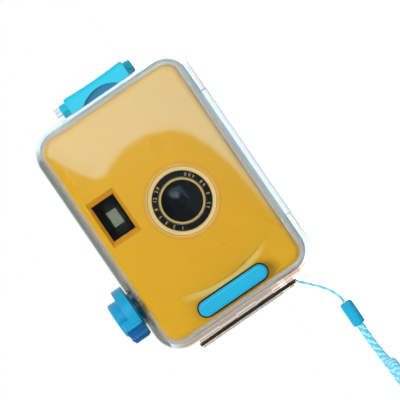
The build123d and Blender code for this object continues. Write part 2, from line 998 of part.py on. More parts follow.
def glass(radius, front, back, bulge_front, bulge_back):
    """A round glass whose two faces bulge outwards, or inwards below zero."""
    plane = Plane(origin=(lens_x, 0, lens_z), x_dir=(1, 0, 0), z_dir=(0, 0, 1))
    with BuildSketch(plane) as half:
        with BuildLine():
            front_face = ThreePointArc(
                (-radius, front), (0, front - bulge_front), (radius, front)
            )
            if bulge_back:
                back_face = ThreePointArc(
                    (-radius, back), (0, back + bulge_back), (radius, back)
                )
            else:
                back_face = Line((-radius, back), (radius, back))
            Line(front_face @ 0, back_face @ 0)
            Line(front_face @ 1, back_face @ 1)
        make_face()
        with Locations((-radius, (front + back) / 2)):
            Rectangle(2 * radius, 4 * radius, mode=Mode.SUBTRACT)
    revolve(half.sketch, axis=Axis((lens_x, 0, lens_z), (0, 1, 0)))


front_lens_edge = barrel_front - front_lens_thick
with BuildPart() as front_lens:
    glass(
        front_lens_radius,
        front_lens_edge,
        front_lens_edge + front_lens_thick,
        front_lens_rise,
        -front_lens_rise,
    )
save(front_lens, "front_lens")

with BuildPart() as rear_lens:
    glass(
        rear_lens_radius,
        rear_lens_y,
        rear_lens_y + rear_lens_thick,
        rear_lens_rise,
        0,
    )
save(rear_lens, "rear_lens")

# The viewfinder: pane, blackened tunnel and eyepiece
pane_front = camera_front + finder_sink
tunnel_front = pane_front + finder_pane
tunnel_rear = camera_rear - camera_wall
with BuildPart() as finder_pane_part:
    plate(finder_width, finder_height, pane_front, tunnel_front, finder_place)
save(finder_pane_part, "finder_pane")


def tunnel_cone(grow, mode=Mode.ADD):
    """The finder's tapering space, grown on each side by the given wall."""
    with BuildSketch(facing(tunnel_front)) as near_end:
        with Locations(finder_place):
            Rectangle(
                finder_width + 2 * (grow - tunnel_rim), finder_height + 2 * (grow - tunnel_rim)
            )
    with BuildSketch(facing(tunnel_rear)) as far_end:
        with Locations(finder_place):
            Rectangle(eyepiece_width + 2 * grow, eyepiece_height + 2 * grow)
    loft([near_end.sketch.face(), far_end.sketch.face()], mode=mode)


with BuildPart() as finder_tunnel:
    tunnel_cone(tunnel_wall)
    tunnel_cone(0, Mode.SUBTRACT)
save(finder_tunnel, "finder_tunnel")

with BuildPart() as eyepiece:
    plate(
        eyepiece_width,
        eyepiece_height,
        tunnel_rear,
        tunnel_rear + eyepiece_thick,
        finder_place,
    )
save(eyepiece, "eyepiece")

# The camera's body: a tray open to the back, with its chambers
tray_front = cover_seam
tray_floor = cover_seam + camera_wall
chamber_radius = cartridge_radius + chamber_gap
spool_room = spool_flange_radius + chamber_gap
chamber_low = film_low - chamber_foot
chamber_high = film_high + chamber_head
cartridge_chamber_low = chamber_low - cartridge_foot
gate_y = film_plane - film_gap
spool_wall = spool_room + spool_chamber_wall
with BuildPart() as camera_body:
    slab(camera_width, camera_height, camera_corner, tray_front, back_seam, (0, camera_mid))
    slab(
        camera_width - 2 * camera_wall,
        camera_height - 2 * camera_wall,
        camera_corner - camera_wall,
        tray_floor,
        back_seam,
        (0, camera_mid),
        Mode.SUBTRACT,
    )
    slab(
        camera_width,
        camera_height,
        camera_corner,
        back_seam - camera_wall,
        camera_rear,
        (0, camera_mid),
    )
    block(
        (-camera_width / 2 + camera_wall, camera_width / 2 - camera_wall),
        (back_seam - camera_wall - past, camera_rear - camera_wall),
        (top_block_low + camera_wall, camera_top - camera_wall),
        Mode.SUBTRACT,
    )
    block(
        (-camera_width / 2 + camera_wall, camera_width / 2 - camera_wall),
        (back_seam - camera_wall - past, back_seam + past),
        (camera_base + camera_wall, top_block_low),
        Mode.SUBTRACT,
    )
    block(
        (-camera_width / 2 + body_sink, camera_width / 2 - body_sink),
        (tray_front, camera_rear - body_sink),
        (top_block_low, top_block_low + camera_wall),
    )
    with BuildSketch(facing(gate_y)) as gate_wall:
        with Locations(lens_place):
            Rectangle(frame_width + 2 * gate_wall_thick, frame_height + 2 * gate_wall_thick)
    with BuildSketch(facing(tray_front)) as stop_wall:
        with Locations(lens_place):
            Rectangle(
                frame_width / gate_share + 2 * gate_wall_thick,
                frame_height / gate_share + 2 * gate_wall_thick,
            )
    loft([gate_wall.sketch.face(), stop_wall.sketch.face()])
    post(spool_wall, chamber_low, chamber_high, knob_place)
    block(
        (knob_x - spool_wall, knob_x + spool_room - 2 * past),
        (knob_y, back_seam),
        (chamber_low, chamber_high),
    )
    post(chamber_radius + chamber_wall, cartridge_chamber_low, chamber_high, cartridge_place)
    block(
        (cartridge_x - chamber_radius + past, cartridge_x + chamber_radius + chamber_wall),
        (knob_y, back_seam),
        (cartridge_chamber_low, chamber_high),
    )
    block(
        (-camera_width, camera_width),
        (back_seam, camera_rear + past),
        (0, top_block_low),
        Mode.SUBTRACT,
    )
    with BuildSketch(facing(gate_y)) as gate:
        with Locations(lens_place):
            Rectangle(frame_width, frame_height)
    with BuildSketch(facing(tray_front)) as stop:
        with Locations(lens_place):
            Rectangle(frame_width / gate_share, frame_height / gate_share)
    loft([gate.sketch.face(), stop.sketch.face()], mode=Mode.SUBTRACT)
    post(spool_room, film_low - spool_space, film_high + spool_space, knob_place, Mode.SUBTRACT)
    block(
        (knob_x - spool_room, knob_x + spool_room),
        (knob_y, back_seam),
        (film_low - film_end, film_high + film_end),
        Mode.SUBTRACT,
    )
    post(
        chamber_radius,
        cartridge_chamber_low + past,
        cartridge_high + chamber_gap,
        cartridge_place,
        Mode.SUBTRACT,
    )
    block(
        (cartridge_x - chamber_radius, cartridge_x + chamber_radius),
        (knob_y, back_seam),
        (film_low - mouth_margin, film_high + mouth_margin),
        Mode.SUBTRACT,
    )
    block(
        (sprocket_x - sprocket_tip - past, sprocket_x + sprocket_tip + past),
        (film_plane - 2 * sprocket_tip - sprocket_room, back_seam),
        (film_high - sprocket_thick - sprocket_room, film_high + film_end),
        Mode.SUBTRACT,
    )
    tunnel_cone(tunnel_wall + fit_gap, Mode.SUBTRACT)
    plate(
        eyepiece_width + 2 * fit_gap,
        eyepiece_height + 2 * fit_gap,
        tunnel_rear - past,
        camera_rear,
        finder_place,
        Mode.SUBTRACT,
    )
    post(
        spool_head_radius + running_gap,
        spool_top - tang_length - 2 * past,
        camera_top,
        knob_place,
        Mode.SUBTRACT,
    )
    for place in screw_places:
        disc(screw_radius + free_gap, tray_front, tray_floor, place, Mode.SUBTRACT)
    post(
        spool_shaft_radius + running_gap,
        chamber_low - past,
        ratchet_low,
        knob_place,
        Mode.SUBTRACT,
    )
    post(
        ratchet_radius + ratchet_gap,
        ratchet_low - ratchet_gap,
        ratchet_low + ratchet_thick + ratchet_gap,
        knob_place,
        Mode.SUBTRACT,
    )
    post(
        counter_pin_radius + running_gap,
        camera_top - camera_wall,
        camera_top,
        counter_place,
        Mode.SUBTRACT,
    )
    post(
        crank_shaft_radius + running_gap,
        chamber_high - 2 * past,
        camera_top,
        cartridge_place,
        Mode.SUBTRACT,
    )
    post(
        crank_radius + crank_gap,
        crank_low - crank_floor_gap,
        camera_top,
        cartridge_place,
        Mode.SUBTRACT,
    )
    post(
        counter_window_radius,
        camera_top - camera_wall,
        camera_top,
        counter_window_place,
        Mode.SUBTRACT,
    )
    post(
        sprocket_shaft_radius + running_gap,
        film_high - past,
        top_block_low + camera_wall + past,
        (sprocket_x, sprocket_y),
        Mode.SUBTRACT,
    )
save(camera_body, "camera_body")

with BuildPart() as cover_screws:
    for place in screw_places:
        disc(screw_radius, camera_front + camera_wall + past, tray_floor, place)
        disc(screw_head_radius, tray_floor, tray_floor + screw_head_thick, place)
save(cover_screws, "cover_screws")

# The shutter: its plate, its blade and the release that trips it
plate_rear = tray_front - free_gap
plate_front = plate_rear - shutter_plate_thick
blade_rear = plate_front - blade_gap
blade_front = blade_rear - blade_thick
pivot_x = lens_x + pivot_out
pivot_z = lens_z + pivot_out
with BuildPart() as shutter_plate:
    plate(shutter_plate_size, shutter_plate_size, plate_front, plate_rear, lens_place)
    disc(shutter_bore_radius, plate_front, plate_rear, lens_place, Mode.SUBTRACT)
    disc(blade_pin_radius, blade_front - free_gap, plate_front, (pivot_x, pivot_z))
save(shutter_plate, "shutter_plate")

with BuildPart() as shutter_blade:
    disc(blade_hub_radius, blade_front, blade_rear, (pivot_x, pivot_z))
    with BuildSketch(facing(blade_rear)) as leaf:
        with BuildLine():
            Polyline(
                (pivot_x - blade_hub_radius, pivot_z),
                *((lens_x + across, lens_z + up) for across, up in blade_tip),
                (pivot_x, pivot_z - blade_hub_radius),
                close=True,
            )
        make_face()
    extrude(leaf.sketch, amount=blade_rear - blade_front)
    blade_bore = blade_pin_radius + running_gap
    disc(blade_bore, blade_front, blade_rear, (pivot_x, pivot_z), Mode.SUBTRACT)
save(shutter_blade, "shutter_blade")

button_back = button_flange_y + free_gap
arm_front = button_back + button_lip
with BuildPart() as release_button:
    capsule(button_width, button_length, button_front, button_back, trigger_place)
    fillet(release_button.edges().group_by(Axis.Y)[0], radius=button_edge)
    capsule(
        button_width + 2 * button_lip,
        button_length + 2 * button_lip,
        button_back,
        arm_front,
        trigger_place,
    )
save(release_button, "release_button")

arm_rear = arm_front + arm_thick
arm_end_x = lens_x - barrel_radius - past
with BuildPart() as release_arm:
    block(
        (trigger_x - arm_width / 2, trigger_x + arm_width / 2),
        (arm_front, arm_rear),
        (trigger_z, arm_top),
    )
    block(
        (trigger_x - arm_width / 2, arm_end_x),
        (arm_front, arm_rear),
        (arm_top - arm_width, arm_top),
    )
    block(
        (arm_end_x - arm_width, arm_end_x),
        (arm_front, arm_rear),
        (lens_z + barrel_radius, arm_top),
    )
save(release_arm, "release_arm")

# The take-up spool, whose slotted head the knob's tang drives
spool_low = film_low - film_end
spool_high = film_high + film_end
with BuildPart() as take_up_spool:
    post(spool_radius, spool_low, spool_high, knob_place)
    post(spool_flange_radius, spool_low - spool_flange, spool_low, knob_place)
    post(spool_flange_radius, spool_high, spool_high + spool_flange, knob_place)
    post(spool_shaft_radius, chamber_low - past / 2, spool_top - tang_length, knob_place)
    post(spool_head_radius, spool_top - tang_length - spool_head_foot, spool_top, knob_place)
    block(
        (knob_x - spool_head_radius, knob_x + spool_head_radius),
        (knob_y - tang_thick / 2 - free_gap, knob_y + tang_thick / 2 + free_gap),
        (shaft_low - free_gap, spool_top),
        Mode.SUBTRACT,
    )
    post(ratchet_radius, ratchet_low, ratchet_low + ratchet_thick, knob_place)
    with Locations((knob_x, knob_y, ratchet_low + ratchet_thick / 2)):
        with PolarLocations(ratchet_radius, ratchet_teeth):
            Box(*ratchet_notch, ratchet_thick, mode=Mode.SUBTRACT)
save(take_up_spool, "take_up_spool")

pawl_x = knob_x + ratchet_radius + pawl_gap
pawl_span = (ratchet_low + pawl_gap, ratchet_low + ratchet_thick - pawl_gap)
with BuildPart() as ratchet_pawl:
    block((pawl_x, pawl_x + pawl_thick), (tray_floor, tray_floor + pawl_length), pawl_span)
    block((pawl_x, pawl_x + pawl_foot), (tray_floor, tray_floor + pawl_thick), pawl_span)
save(ratchet_pawl, "ratchet_pawl")

sprocket_high = film_high - film_end
with BuildPart() as sprocket:
    sprocket_place = (sprocket_x, sprocket_y)
    post(sprocket_radius, sprocket_high - sprocket_thick, sprocket_high, sprocket_place)
    with Locations((sprocket_x, sprocket_y, sprocket_high - sprocket_thick / 2)):
        with PolarLocations(sprocket_radius, sprocket_teeth):
            Box(2 * (sprocket_tip - sprocket_radius), tooth_width, tooth_height)
    post(
        sprocket_shaft_radius,
        sprocket_high,
        top_block_low + camera_wall + sprocket_shaft_over,
        sprocket_place,
    )
save(sprocket, "sprocket")

with BuildPart() as counter_dial:
    post(counter_radius, counter_low, counter_low + counter_thick, counter_place)
    post(counter_pin_radius, counter_low, camera_top - past / 2, counter_place)
save(counter_dial, "counter_dial")

with BuildPart() as counter_glass:
    post(
        counter_window_radius - fit_gap,
        camera_top - camera_wall + free_gap,
        camera_top - 2 * fit_gap,
        counter_window_place,
    )
save(counter_glass, "counter_glass")

# The film cartridge, its spool and the rewind crank that turns it
with BuildPart() as film_cartridge:
    post(cartridge_radius, cartridge_low, cartridge_high, cartridge_place)
    block(
        (cartridge_x - cartridge_radius - cartridge_lip, cartridge_x - cartridge_lip),
        (film_plane - lip_half, film_plane + film_thick + lip_half),
        (film_low - film_end, film_high + film_end),
    )
    post(
        cartridge_radius - cartridge_shell,
        cartridge_low + cartridge_cap,
        cartridge_high - cartridge_cap,
        cartridge_place,
        Mode.SUBTRACT,
    )
    core_bore = core_radius + 2 * fit_gap
    post(core_bore, cartridge_low, cartridge_high, cartridge_place, Mode.SUBTRACT)
    block(
        (cartridge_x - cartridge_radius - cartridge_lip, cartridge_x - cartridge_lip - past),
        (film_plane - slot_gap, film_plane + film_thick + slot_gap),
        (film_low - free_gap, film_high + free_gap),
        Mode.SUBTRACT,
    )
save(film_cartridge, "film_cartridge")

with BuildPart() as cartridge_spool:
    post(core_radius, cartridge_low - core_over, cartridge_high, cartridge_place)
    post(
        crank_shaft_radius + past / 2,
        cartridge_high - crank_shaft_reach - past,
        cartridge_high,
        cartridge_place,
        Mode.SUBTRACT,
    )
save(cartridge_spool, "cartridge_spool")

crank_grip_reach = crank_radius - crank_grip_inset
with BuildPart() as rewind_crank:
    post(crank_shaft_radius, cartridge_high - crank_shaft_reach, crank_low, cartridge_place)
    post(crank_radius, crank_low, crank_low + crank_thick / 2, cartridge_place)
    block(
        (cartridge_x - crank_grip_reach, cartridge_x + crank_grip_reach),
        (knob_y - crank_grip_half, knob_y + crank_grip_half),
        (crank_low + crank_thick / 2, crank_low + crank_thick),
    )
    post(
        crank_knob_radius,
        crank_low + crank_thick,
        camera_top - 2 * fit_gap,
        (cartridge_x + crank_radius - crank_knob_inset, knob_y),
    )
save(rewind_crank, "rewind_crank")

with BuildPart() as film_strip:
    block(
        (knob_x + spool_radius + film_end, cartridge_x - cartridge_radius + film_tail),
        (film_plane, film_plane + film_thick),
        (film_low, film_high),
    )
    for row in (film_low + perforation_row, film_high - perforation_row):
        with Locations((lens_x, film_plane + film_thick / 2, row)):
            with GridLocations(perforation_pitch, 1, perforation_count, 1):
                Box(
                    perforation_width,
                    4 * film_thick,
                    perforation_height,
                    mode=Mode.SUBTRACT,
                )
save(film_strip, "film_strip")

# The film door with its pressure plate, spring, pin and catch
press_front = film_plane + film_thick + press_gap
press_rear = press_front + press_thick
back_wall_y = camera_rear - camera_wall
with BuildPart() as pressure_plate:
    plate(
        frame_width + press_margin_width,
        frame_height + press_margin_height,
        press_front,
        press_rear,
        lens_place,
    )
save(pressure_plate, "pressure_plate")

outer_half = press_spring_width / 2
inner_half = outer_half - press_spring_foot
with BuildPart() as pressure_spring:
    with BuildSketch(Plane.XY.offset(lens_z - press_spring_height / 2)) as bow:
        with BuildLine():
            outer = ThreePointArc(
                (lens_x - outer_half, back_wall_y),
                (lens_x, press_rear),
                (lens_x + outer_half, back_wall_y),
            )
            inner = ThreePointArc(
                (lens_x - inner_half, back_wall_y),
                (lens_x, press_rear + press_spring_sheet),
                (lens_x + inner_half, back_wall_y),
            )
            Line(outer @ 0, inner @ 0)
            Line(outer @ 1, inner @ 1)
        make_face()
    extrude(bow.sketch, amount=press_spring_height)
save(pressure_spring, "pressure_spring")

with BuildPart() as camera_back:
    slab(camera_width, camera_height, camera_corner, back_seam, camera_rear, (0, camera_mid))
    fillet(camera_back.edges().group_by(Axis.Y)[-1], radius=back_edge)
    slab(
        camera_width - 2 * camera_wall,
        camera_height - 2 * camera_wall,
        camera_corner - camera_wall,
        back_seam,
        back_wall_y,
        (0, camera_mid),
        Mode.SUBTRACT,
    )
    block(
        (-camera_width, camera_width),
        (back_seam, camera_rear),
        (back_top, camera_top),
        Mode.SUBTRACT,
    )
    block(
        (-camera_width / 2 + camera_wall / 2, camera_width / 2 - camera_wall / 2),
        (back_seam, camera_rear - camera_wall / 2),
        (back_top - camera_wall / 2, back_top),
    )
save(camera_back, "camera_back")

with BuildPart() as back_catch:
    block(
        (camera_width / 2 - camera_wall - catch_plate_thick, camera_width / 2 - camera_wall),
        (back_seam - catch_plate_reach, back_seam + catch_plate_reach),
        (lens_z - catch_plate_half, lens_z + catch_plate_half),
    )
save(back_catch, "back_catch")

# The wrist strap: a thin tie through the lug, a ferrule and the cord's loop
ferrule_z = ferrule_lift + ferrule_height / 2
ferrule_far = ferrule_near + ferrule_length
tie_points = [
    (-ferrule_near, lug_y + tie_half_width, ferrule_z),
    (-ferrule_near + tie_run, lug_y + tie_half_width, ferrule_z),
    (lug_x, lug_y + tie_half_width, lug_z),
    (lug_x, lug_y - tie_half_width, lug_z),
    (-ferrule_near + tie_run, lug_y - tie_half_width, ferrule_z),
    (-ferrule_near, lug_y - tie_half_width, ferrule_z),
]
tie_bend = tie_half_width - fit_gap
tie_radii = [tie_bend_wide, tie_bend, tie_bend, tie_bend_wide]
with BuildPart() as strap_tie:
    with BuildLine() as tie_path:
        FilletPolyline(*tie_points, radius=tie_radii)
    with BuildSketch(Plane(origin=tie_path.line @ 0, z_dir=tie_path.line % 0)) as tie_round:
        Circle(tie_radius)
    sweep(tie_round.sketch, path=tie_path.line)
save(strap_tie, "strap_tie")

with BuildPart() as strap_ferrule:
    end_plane = Plane((-ferrule_far, lug_y, ferrule_z), x_dir=(0, 1, 0), z_dir=(1, 0, 0))
    with BuildSketch(end_plane) as end_view:
        SlotOverall(ferrule_width, ferrule_height)
    extrude(end_view.sketch, amount=ferrule_length)
    fillet(strap_ferrule.edges().group_by(Axis.X)[0], radius=ferrule_edge)
    fillet(strap_ferrule.edges().group_by(Axis.X)[-1], radius=ferrule_edge)
save(strap_ferrule, "strap_ferrule")

# The cord's route, from the ferrule over the floor and back to the ferrule
cord_floor = cord_radius + ferrule_lift
cord_points = [
    (-ferrule_far, lug_y + cord_split, ferrule_z),
    (-107, lug_y + cord_split, ferrule_z),
    (-126, -6.4, cord_floor),
    (-148, -11, cord_floor),
    (-166, -24, cord_floor),
    (-175, -44, cord_floor),
    (-172, -65, cord_floor),
    (-158, -82, cord_floor),
    (-138, -87, cord_floor),
    (-121, -77, cord_floor),
    (-114, -58, cord_floor),
    (-117, -38, cord_floor),
    (-118.5, -22, cord_floor),
    (-107.5, lug_y - cord_split, ferrule_z),
    (-ferrule_far, lug_y - cord_split, ferrule_z),
]


def bend_radii(points):
    """The largest radius that each corner's two runs allow."""
    radii = []
    for before, corner, after in zip(points, points[1:], points[2:]):
        first = Vector(*corner) - Vector(*before)
        second = Vector(*after) - Vector(*corner)
        half_turn = math.radians(first.get_angle(second)) / 2
        radii.append(0.45 * min(first.length, second.length) / math.tan(half_turn))
    return radii


cord_radii = bend_radii(cord_points)
with BuildPart() as wrist_cord:
    with BuildLine() as cord_path:
        FilletPolyline(*cord_points, radius=cord_radii)
    cord_start = Plane(origin=cord_path.line @ 0, z_dir=cord_path.line % 0)
    with BuildSketch(cord_start) as cord_round:
        Circle(cord_radius)
    sweep(cord_round.sketch, path=cord_path.line)
save(wrist_cord, "wrist_cord")
print("cord radii", [round(radius, 1) for radius in cord_radii])
cord_length = sum(edge.length for edge in cord_path.edges())
print("cord length", round(cord_length, 1))
expected = math.pi * cord_radius**2 * cord_length
print("cord volume over section times length", round(wrist_cord.part.volume / expected, 4))
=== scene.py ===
"""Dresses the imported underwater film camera: finishes, strap, light and camera.

Metres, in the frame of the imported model: +X is the latch side, -Y the lens
side and +Z up, with the housing standing on its foot at z = 0. EYE is where the
photographer's camera stands, LENS_AXIS is the X and Z of the lens's middle and
PRINT_EDGE is how soft the border of a printed or painted colour is.
"""

import json
import logging
import math
from dataclasses import dataclass
from enum import Enum

import bmesh
import bpy
from mathutils import Matrix, Quaternion, Vector

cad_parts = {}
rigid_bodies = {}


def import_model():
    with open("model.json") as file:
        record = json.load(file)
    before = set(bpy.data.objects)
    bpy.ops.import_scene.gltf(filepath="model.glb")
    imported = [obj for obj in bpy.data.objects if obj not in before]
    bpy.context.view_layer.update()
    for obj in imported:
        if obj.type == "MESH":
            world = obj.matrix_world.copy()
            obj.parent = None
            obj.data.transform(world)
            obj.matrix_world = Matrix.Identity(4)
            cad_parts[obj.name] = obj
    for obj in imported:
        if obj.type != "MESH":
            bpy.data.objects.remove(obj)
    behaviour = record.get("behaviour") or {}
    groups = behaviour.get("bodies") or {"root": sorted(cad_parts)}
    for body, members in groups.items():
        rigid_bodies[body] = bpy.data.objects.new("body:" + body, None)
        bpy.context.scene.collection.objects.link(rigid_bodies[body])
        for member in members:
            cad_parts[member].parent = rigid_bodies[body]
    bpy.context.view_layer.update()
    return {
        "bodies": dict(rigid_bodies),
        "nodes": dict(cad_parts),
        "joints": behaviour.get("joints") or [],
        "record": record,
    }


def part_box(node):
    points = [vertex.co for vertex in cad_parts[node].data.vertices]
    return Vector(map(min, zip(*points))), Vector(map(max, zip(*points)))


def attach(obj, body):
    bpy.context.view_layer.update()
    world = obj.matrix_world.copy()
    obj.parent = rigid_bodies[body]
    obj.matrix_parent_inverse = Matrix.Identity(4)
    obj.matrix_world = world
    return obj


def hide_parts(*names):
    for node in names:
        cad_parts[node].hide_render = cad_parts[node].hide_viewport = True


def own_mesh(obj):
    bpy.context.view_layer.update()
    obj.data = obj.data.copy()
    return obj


log = logging.getLogger("camera_housing")

Pair = tuple[float, float]
Triple = tuple[float, float, float]
Colour = tuple[float, float, float, float]
Rings = list[list[Vector]]
Grid = list[list[bmesh.types.BMVert]]
Spine = list[tuple[Vector, Vector, Vector, Vector]]

FRAME: dict = {}
EYE: Triple = (-0.0091, -1.222, 0.0422)
LENS_AXIS: Pair = (-0.0022, 0.0387)
PRINT_EDGE = 0.00012


def linear(red: int, green: int, blue: int) -> Colour:
    """Turns a display colour, 0 to 255, into a linear one with alpha, by the sRGB curve.

    Args:
        red: The red channel.
        green: The green channel.
        blue: The blue channel.

    Returns:
        Linear red, green, blue and an alpha of 1.
    """
    channels = []
    for value in (red, green, blue):
        share = value / 255
        dark = share / 12.92
        channels.append(dark if share <= 0.04045 else ((share + 0.055) / 1.055) ** 2.4)
    return (channels[0], channels[1], channels[2], 1.0)


def even_turn(count: int) -> list[float]:
    """Angles at even steps round a full turn."""
    return [math.tau * step / count for step in range(count)]


def smooth(share: float) -> float:
    """Holds a share between 0 and 1 and eases it at both ends."""
    held = max(0.0, min(1.0, share))
    return held * held * (3 - 2 * held)


def place_data(name: str, data: bpy.types.ID) -> bpy.types.Object:
    """Puts a mesh, curve, text, lamp or camera into the scene.

    Args:
        name: The object's name.
        data: What the object shows.

    Returns:
        The object.
    """
    thing = bpy.data.objects.new(name, data)
    bpy.context.scene.collection.objects.link(thing)
    return thing


def place_mesh(name: str, mesh: bmesh.types.BMesh) -> bpy.types.Object:
    """Turns a built mesh into an object.

    Args:
        name: The object's name.
        mesh: The mesh, which is used up.

    Returns:
        The object.
    """
    data = bpy.data.meshes.new(name)
    mesh.to_mesh(data)
    mesh.free()
    return place_data(name, data)


def place_smooth(name: str, mesh: bmesh.types.BMesh) -> bpy.types.Object:
    """Turns a built mesh into a smooth piece.

    Args:
        name: The piece's name.
        mesh: The mesh, which is used up.

    Returns:
        The piece.
    """
    bmesh.ops.recalc_face_normals(mesh, faces=mesh.faces)
    piece = place_mesh(name, mesh)
    for face in piece.data.polygons:
        face.use_smooth = True
    return piece


def circle(
    middle: Vector, across: Vector, over: Vector, radius: float, sides: int
) -> list[Vector]:
    """A round ring of points.

    Args:
        middle: Its centre.
        across: One direction in its plane.
        over: The other one, square to it.
        radius: Its radius.
        sides: How many points it has.

    Returns:
        The ring's points.
    """
    spokes = (across * math.cos(bend) + over * math.sin(bend) for bend in even_turn(sides))
    return [middle + spoke * radius for spoke in spokes]


def stitch(mesh: bmesh.types.BMesh, rows: Grid, closed: bool = False) -> None:
    """Joins each row of points to the next one with faces.

    Args:
        mesh: The mesh that takes the faces.
        rows: Rows with the same number of points each.
        closed: Whether a row runs round to its own start.
    """
    for low, high in zip(rows, rows[1:]):
        for place in range(len(low) if closed else len(low) - 1):
            after = (place + 1) % len(low)
            mesh.faces.new((low[place], low[after], high[after], high[place]))


def tube(mesh: bmesh.types.BMesh, rings: Rings) -> Grid:
    """Joins rings of points into a closed tube.

    Args:
        mesh: The mesh that takes the tube.
        rings: Rings with the same number of points each.

    Returns:
        The tube's points, ring by ring.
    """
    grid = [[mesh.verts.new(point) for point in ring] for ring in rings]
    stitch(mesh, grid, closed=True)
    mesh.faces.new(list(reversed(grid[0])))
    mesh.faces.new(grid[-1])
    return grid


class Socket:
    """One output socket of a node tree, with arithmetic that adds Math nodes."""

    def __init__(self, tree: bpy.types.NodeTree, output: bpy.types.NodeSocket) -> None:
        """Keeps the tree and the socket."""
        self.tree = tree
        self.output = output

    def _math(self, operation: str, first: object, second: object) -> "Socket":
        """Adds one Math node.

        Args:
            operation: The Math node's operation.
            first: The first value, a number or a Socket.
            second: The second value, a number or a Socket.

        Returns:
            The node's value.
        """
        node = self.tree.nodes.new("ShaderNodeMath")
        node.operation = operation
        for place, value in enumerate((first, second)):
            if isinstance(value, Socket):
                self.tree.links.new(value.output, node.inputs[place])
            else:
                node.inputs[place].default_value = float(value)
        return Socket(self.tree, node.outputs[0])

    def __add__(self, other: object) -> "Socket":
        """Adds."""
        return self._math("ADD", self, other)

    def __radd__(self, other: object) -> "Socket":
        """Adds, from the right."""
        return self._math("ADD", other, self)

    def __sub__(self, other: object) -> "Socket":
        """Takes away."""
        return self._math("SUBTRACT", self, other)

    def __rsub__(self, other: object) -> "Socket":
        """Takes this value away from another."""
        return self._math("SUBTRACT", other, self)

    def __mul__(self, other: object) -> "Socket":
        """Multiplies."""
        return self._math("MULTIPLY", self, other)

    def __rmul__(self, other: object) -> "Socket":
        """Multiplies, from the right."""
        return self._math("MULTIPLY", other, self)

    def __truediv__(self, other: object) -> "Socket":
        """Divides."""
        return self._math("DIVIDE", self, other)

    def __pow__(self, other: object) -> "Socket":
        """Raises to a power."""
        return self._math("POWER", self, other)

    def at_most(self, other: object) -> "Socket":
        """The smaller of the two."""
        return self._math("MINIMUM", self, other)

    def at_least(self, other: object) -> "Socket":
        """The larger of the two."""
        return self._math("MAXIMUM", self, other)

    def held(self) -> "Socket":
        """This value, held between 0 and 1."""
        return self.at_least(0).at_most(1)

    def above(self, other: object) -> "Socket":
        """1 where this value is the larger one, and else 0."""
        return self._math("GREATER_THAN", self, other)

    def size(self) -> "Socket":
        """This value without its sign."""
        return self._math("ABSOLUTE", self, 0)


def reach(first: Socket, second: Socket, centre: Pair = (0.0, 0.0)) -> Socket:
    """The distance from an axis.

    Args:
        first: The place along the first direction across the axis.
        second: The place along the second one.
        centre: The axis's place along both.

    Returns:
        The distance.
    """
    across, over = first - centre[0], second - centre[1]
    return (across * across + over * over) ** 0.5


class Nodes:
    """A node tree that starts empty, with one method for every node."""

    def __init__(self, owner: bpy.types.Material | bpy.types.World) -> None:
        """Takes the node tree of a material or world.

        Args:
            owner: The material or world.
        """
        owner.use_nodes = True
        self.tree = owner.node_tree
        self.tree.nodes.clear()

    def node(self, kind: str, settings: dict | None = None, **values: object) -> bpy.types.Node:
        """Adds a node of any type.

        Args:
            kind: The node's type without its ShaderNode prefix.
            settings: Properties that are set first.
            values: Values or links by socket name, with _ for a space, or
                in0, in1 for a socket by its place.

        Returns:
            The node.
        """
        node = self.tree.nodes.new("ShaderNode" + kind)
        for key, value in (settings or {}).items():
            setattr(node, key, value)
        for key, value in values.items():
            if key.startswith("in") and key[2:].isdigit():
                socket = node.inputs[int(key[2:])]
            else:
                socket = node.inputs[key.replace("_", " ")]
            if isinstance(value, Socket):
                self.tree.links.new(value.output, socket)
            elif isinstance(value, bpy.types.NodeSocket):
                self.tree.links.new(value, socket)
            else:
                socket.default_value = value
        return node

    def value(self, node: bpy.types.Node, output: int | str = 0) -> Socket:
        """Wraps a node's output for arithmetic."""
        return Socket(self.tree, node.outputs[output])

    def painted(self, layer: str) -> Socket:
        """A number that the mesh's points carry."""
        return self.value(self.node("Attribute", {"attribute_name": layer}), "Fac")

    def mirrored(self) -> Socket:
        """Tells the light that a surface mirrors from all other light.

        Returns:
            1 where a surface mirrors this, and else 0.
        """
        path = self.node("LightPath")
        matt = self.value(path, "Diffuse Depth").at_most(1)
        return self.value(path, "Glossy Depth").at_most(1) * (1 - matt)

    def seen(self) -> Socket:
        """Tells what the camera sees from the light that falls on the object.

        Returns:
            1 where the camera looks straight or through clear pieces only, and else 0.
        """
        path = self.node("LightPath")
        bounces = self.value(path, "Diffuse Depth") + self.value(path, "Glossy Depth")
        through = self.value(path, "Is Transmission Ray") * (1 - bounces.at_most(1))
        return self.value(path, "Is Camera Ray").at_least(through)


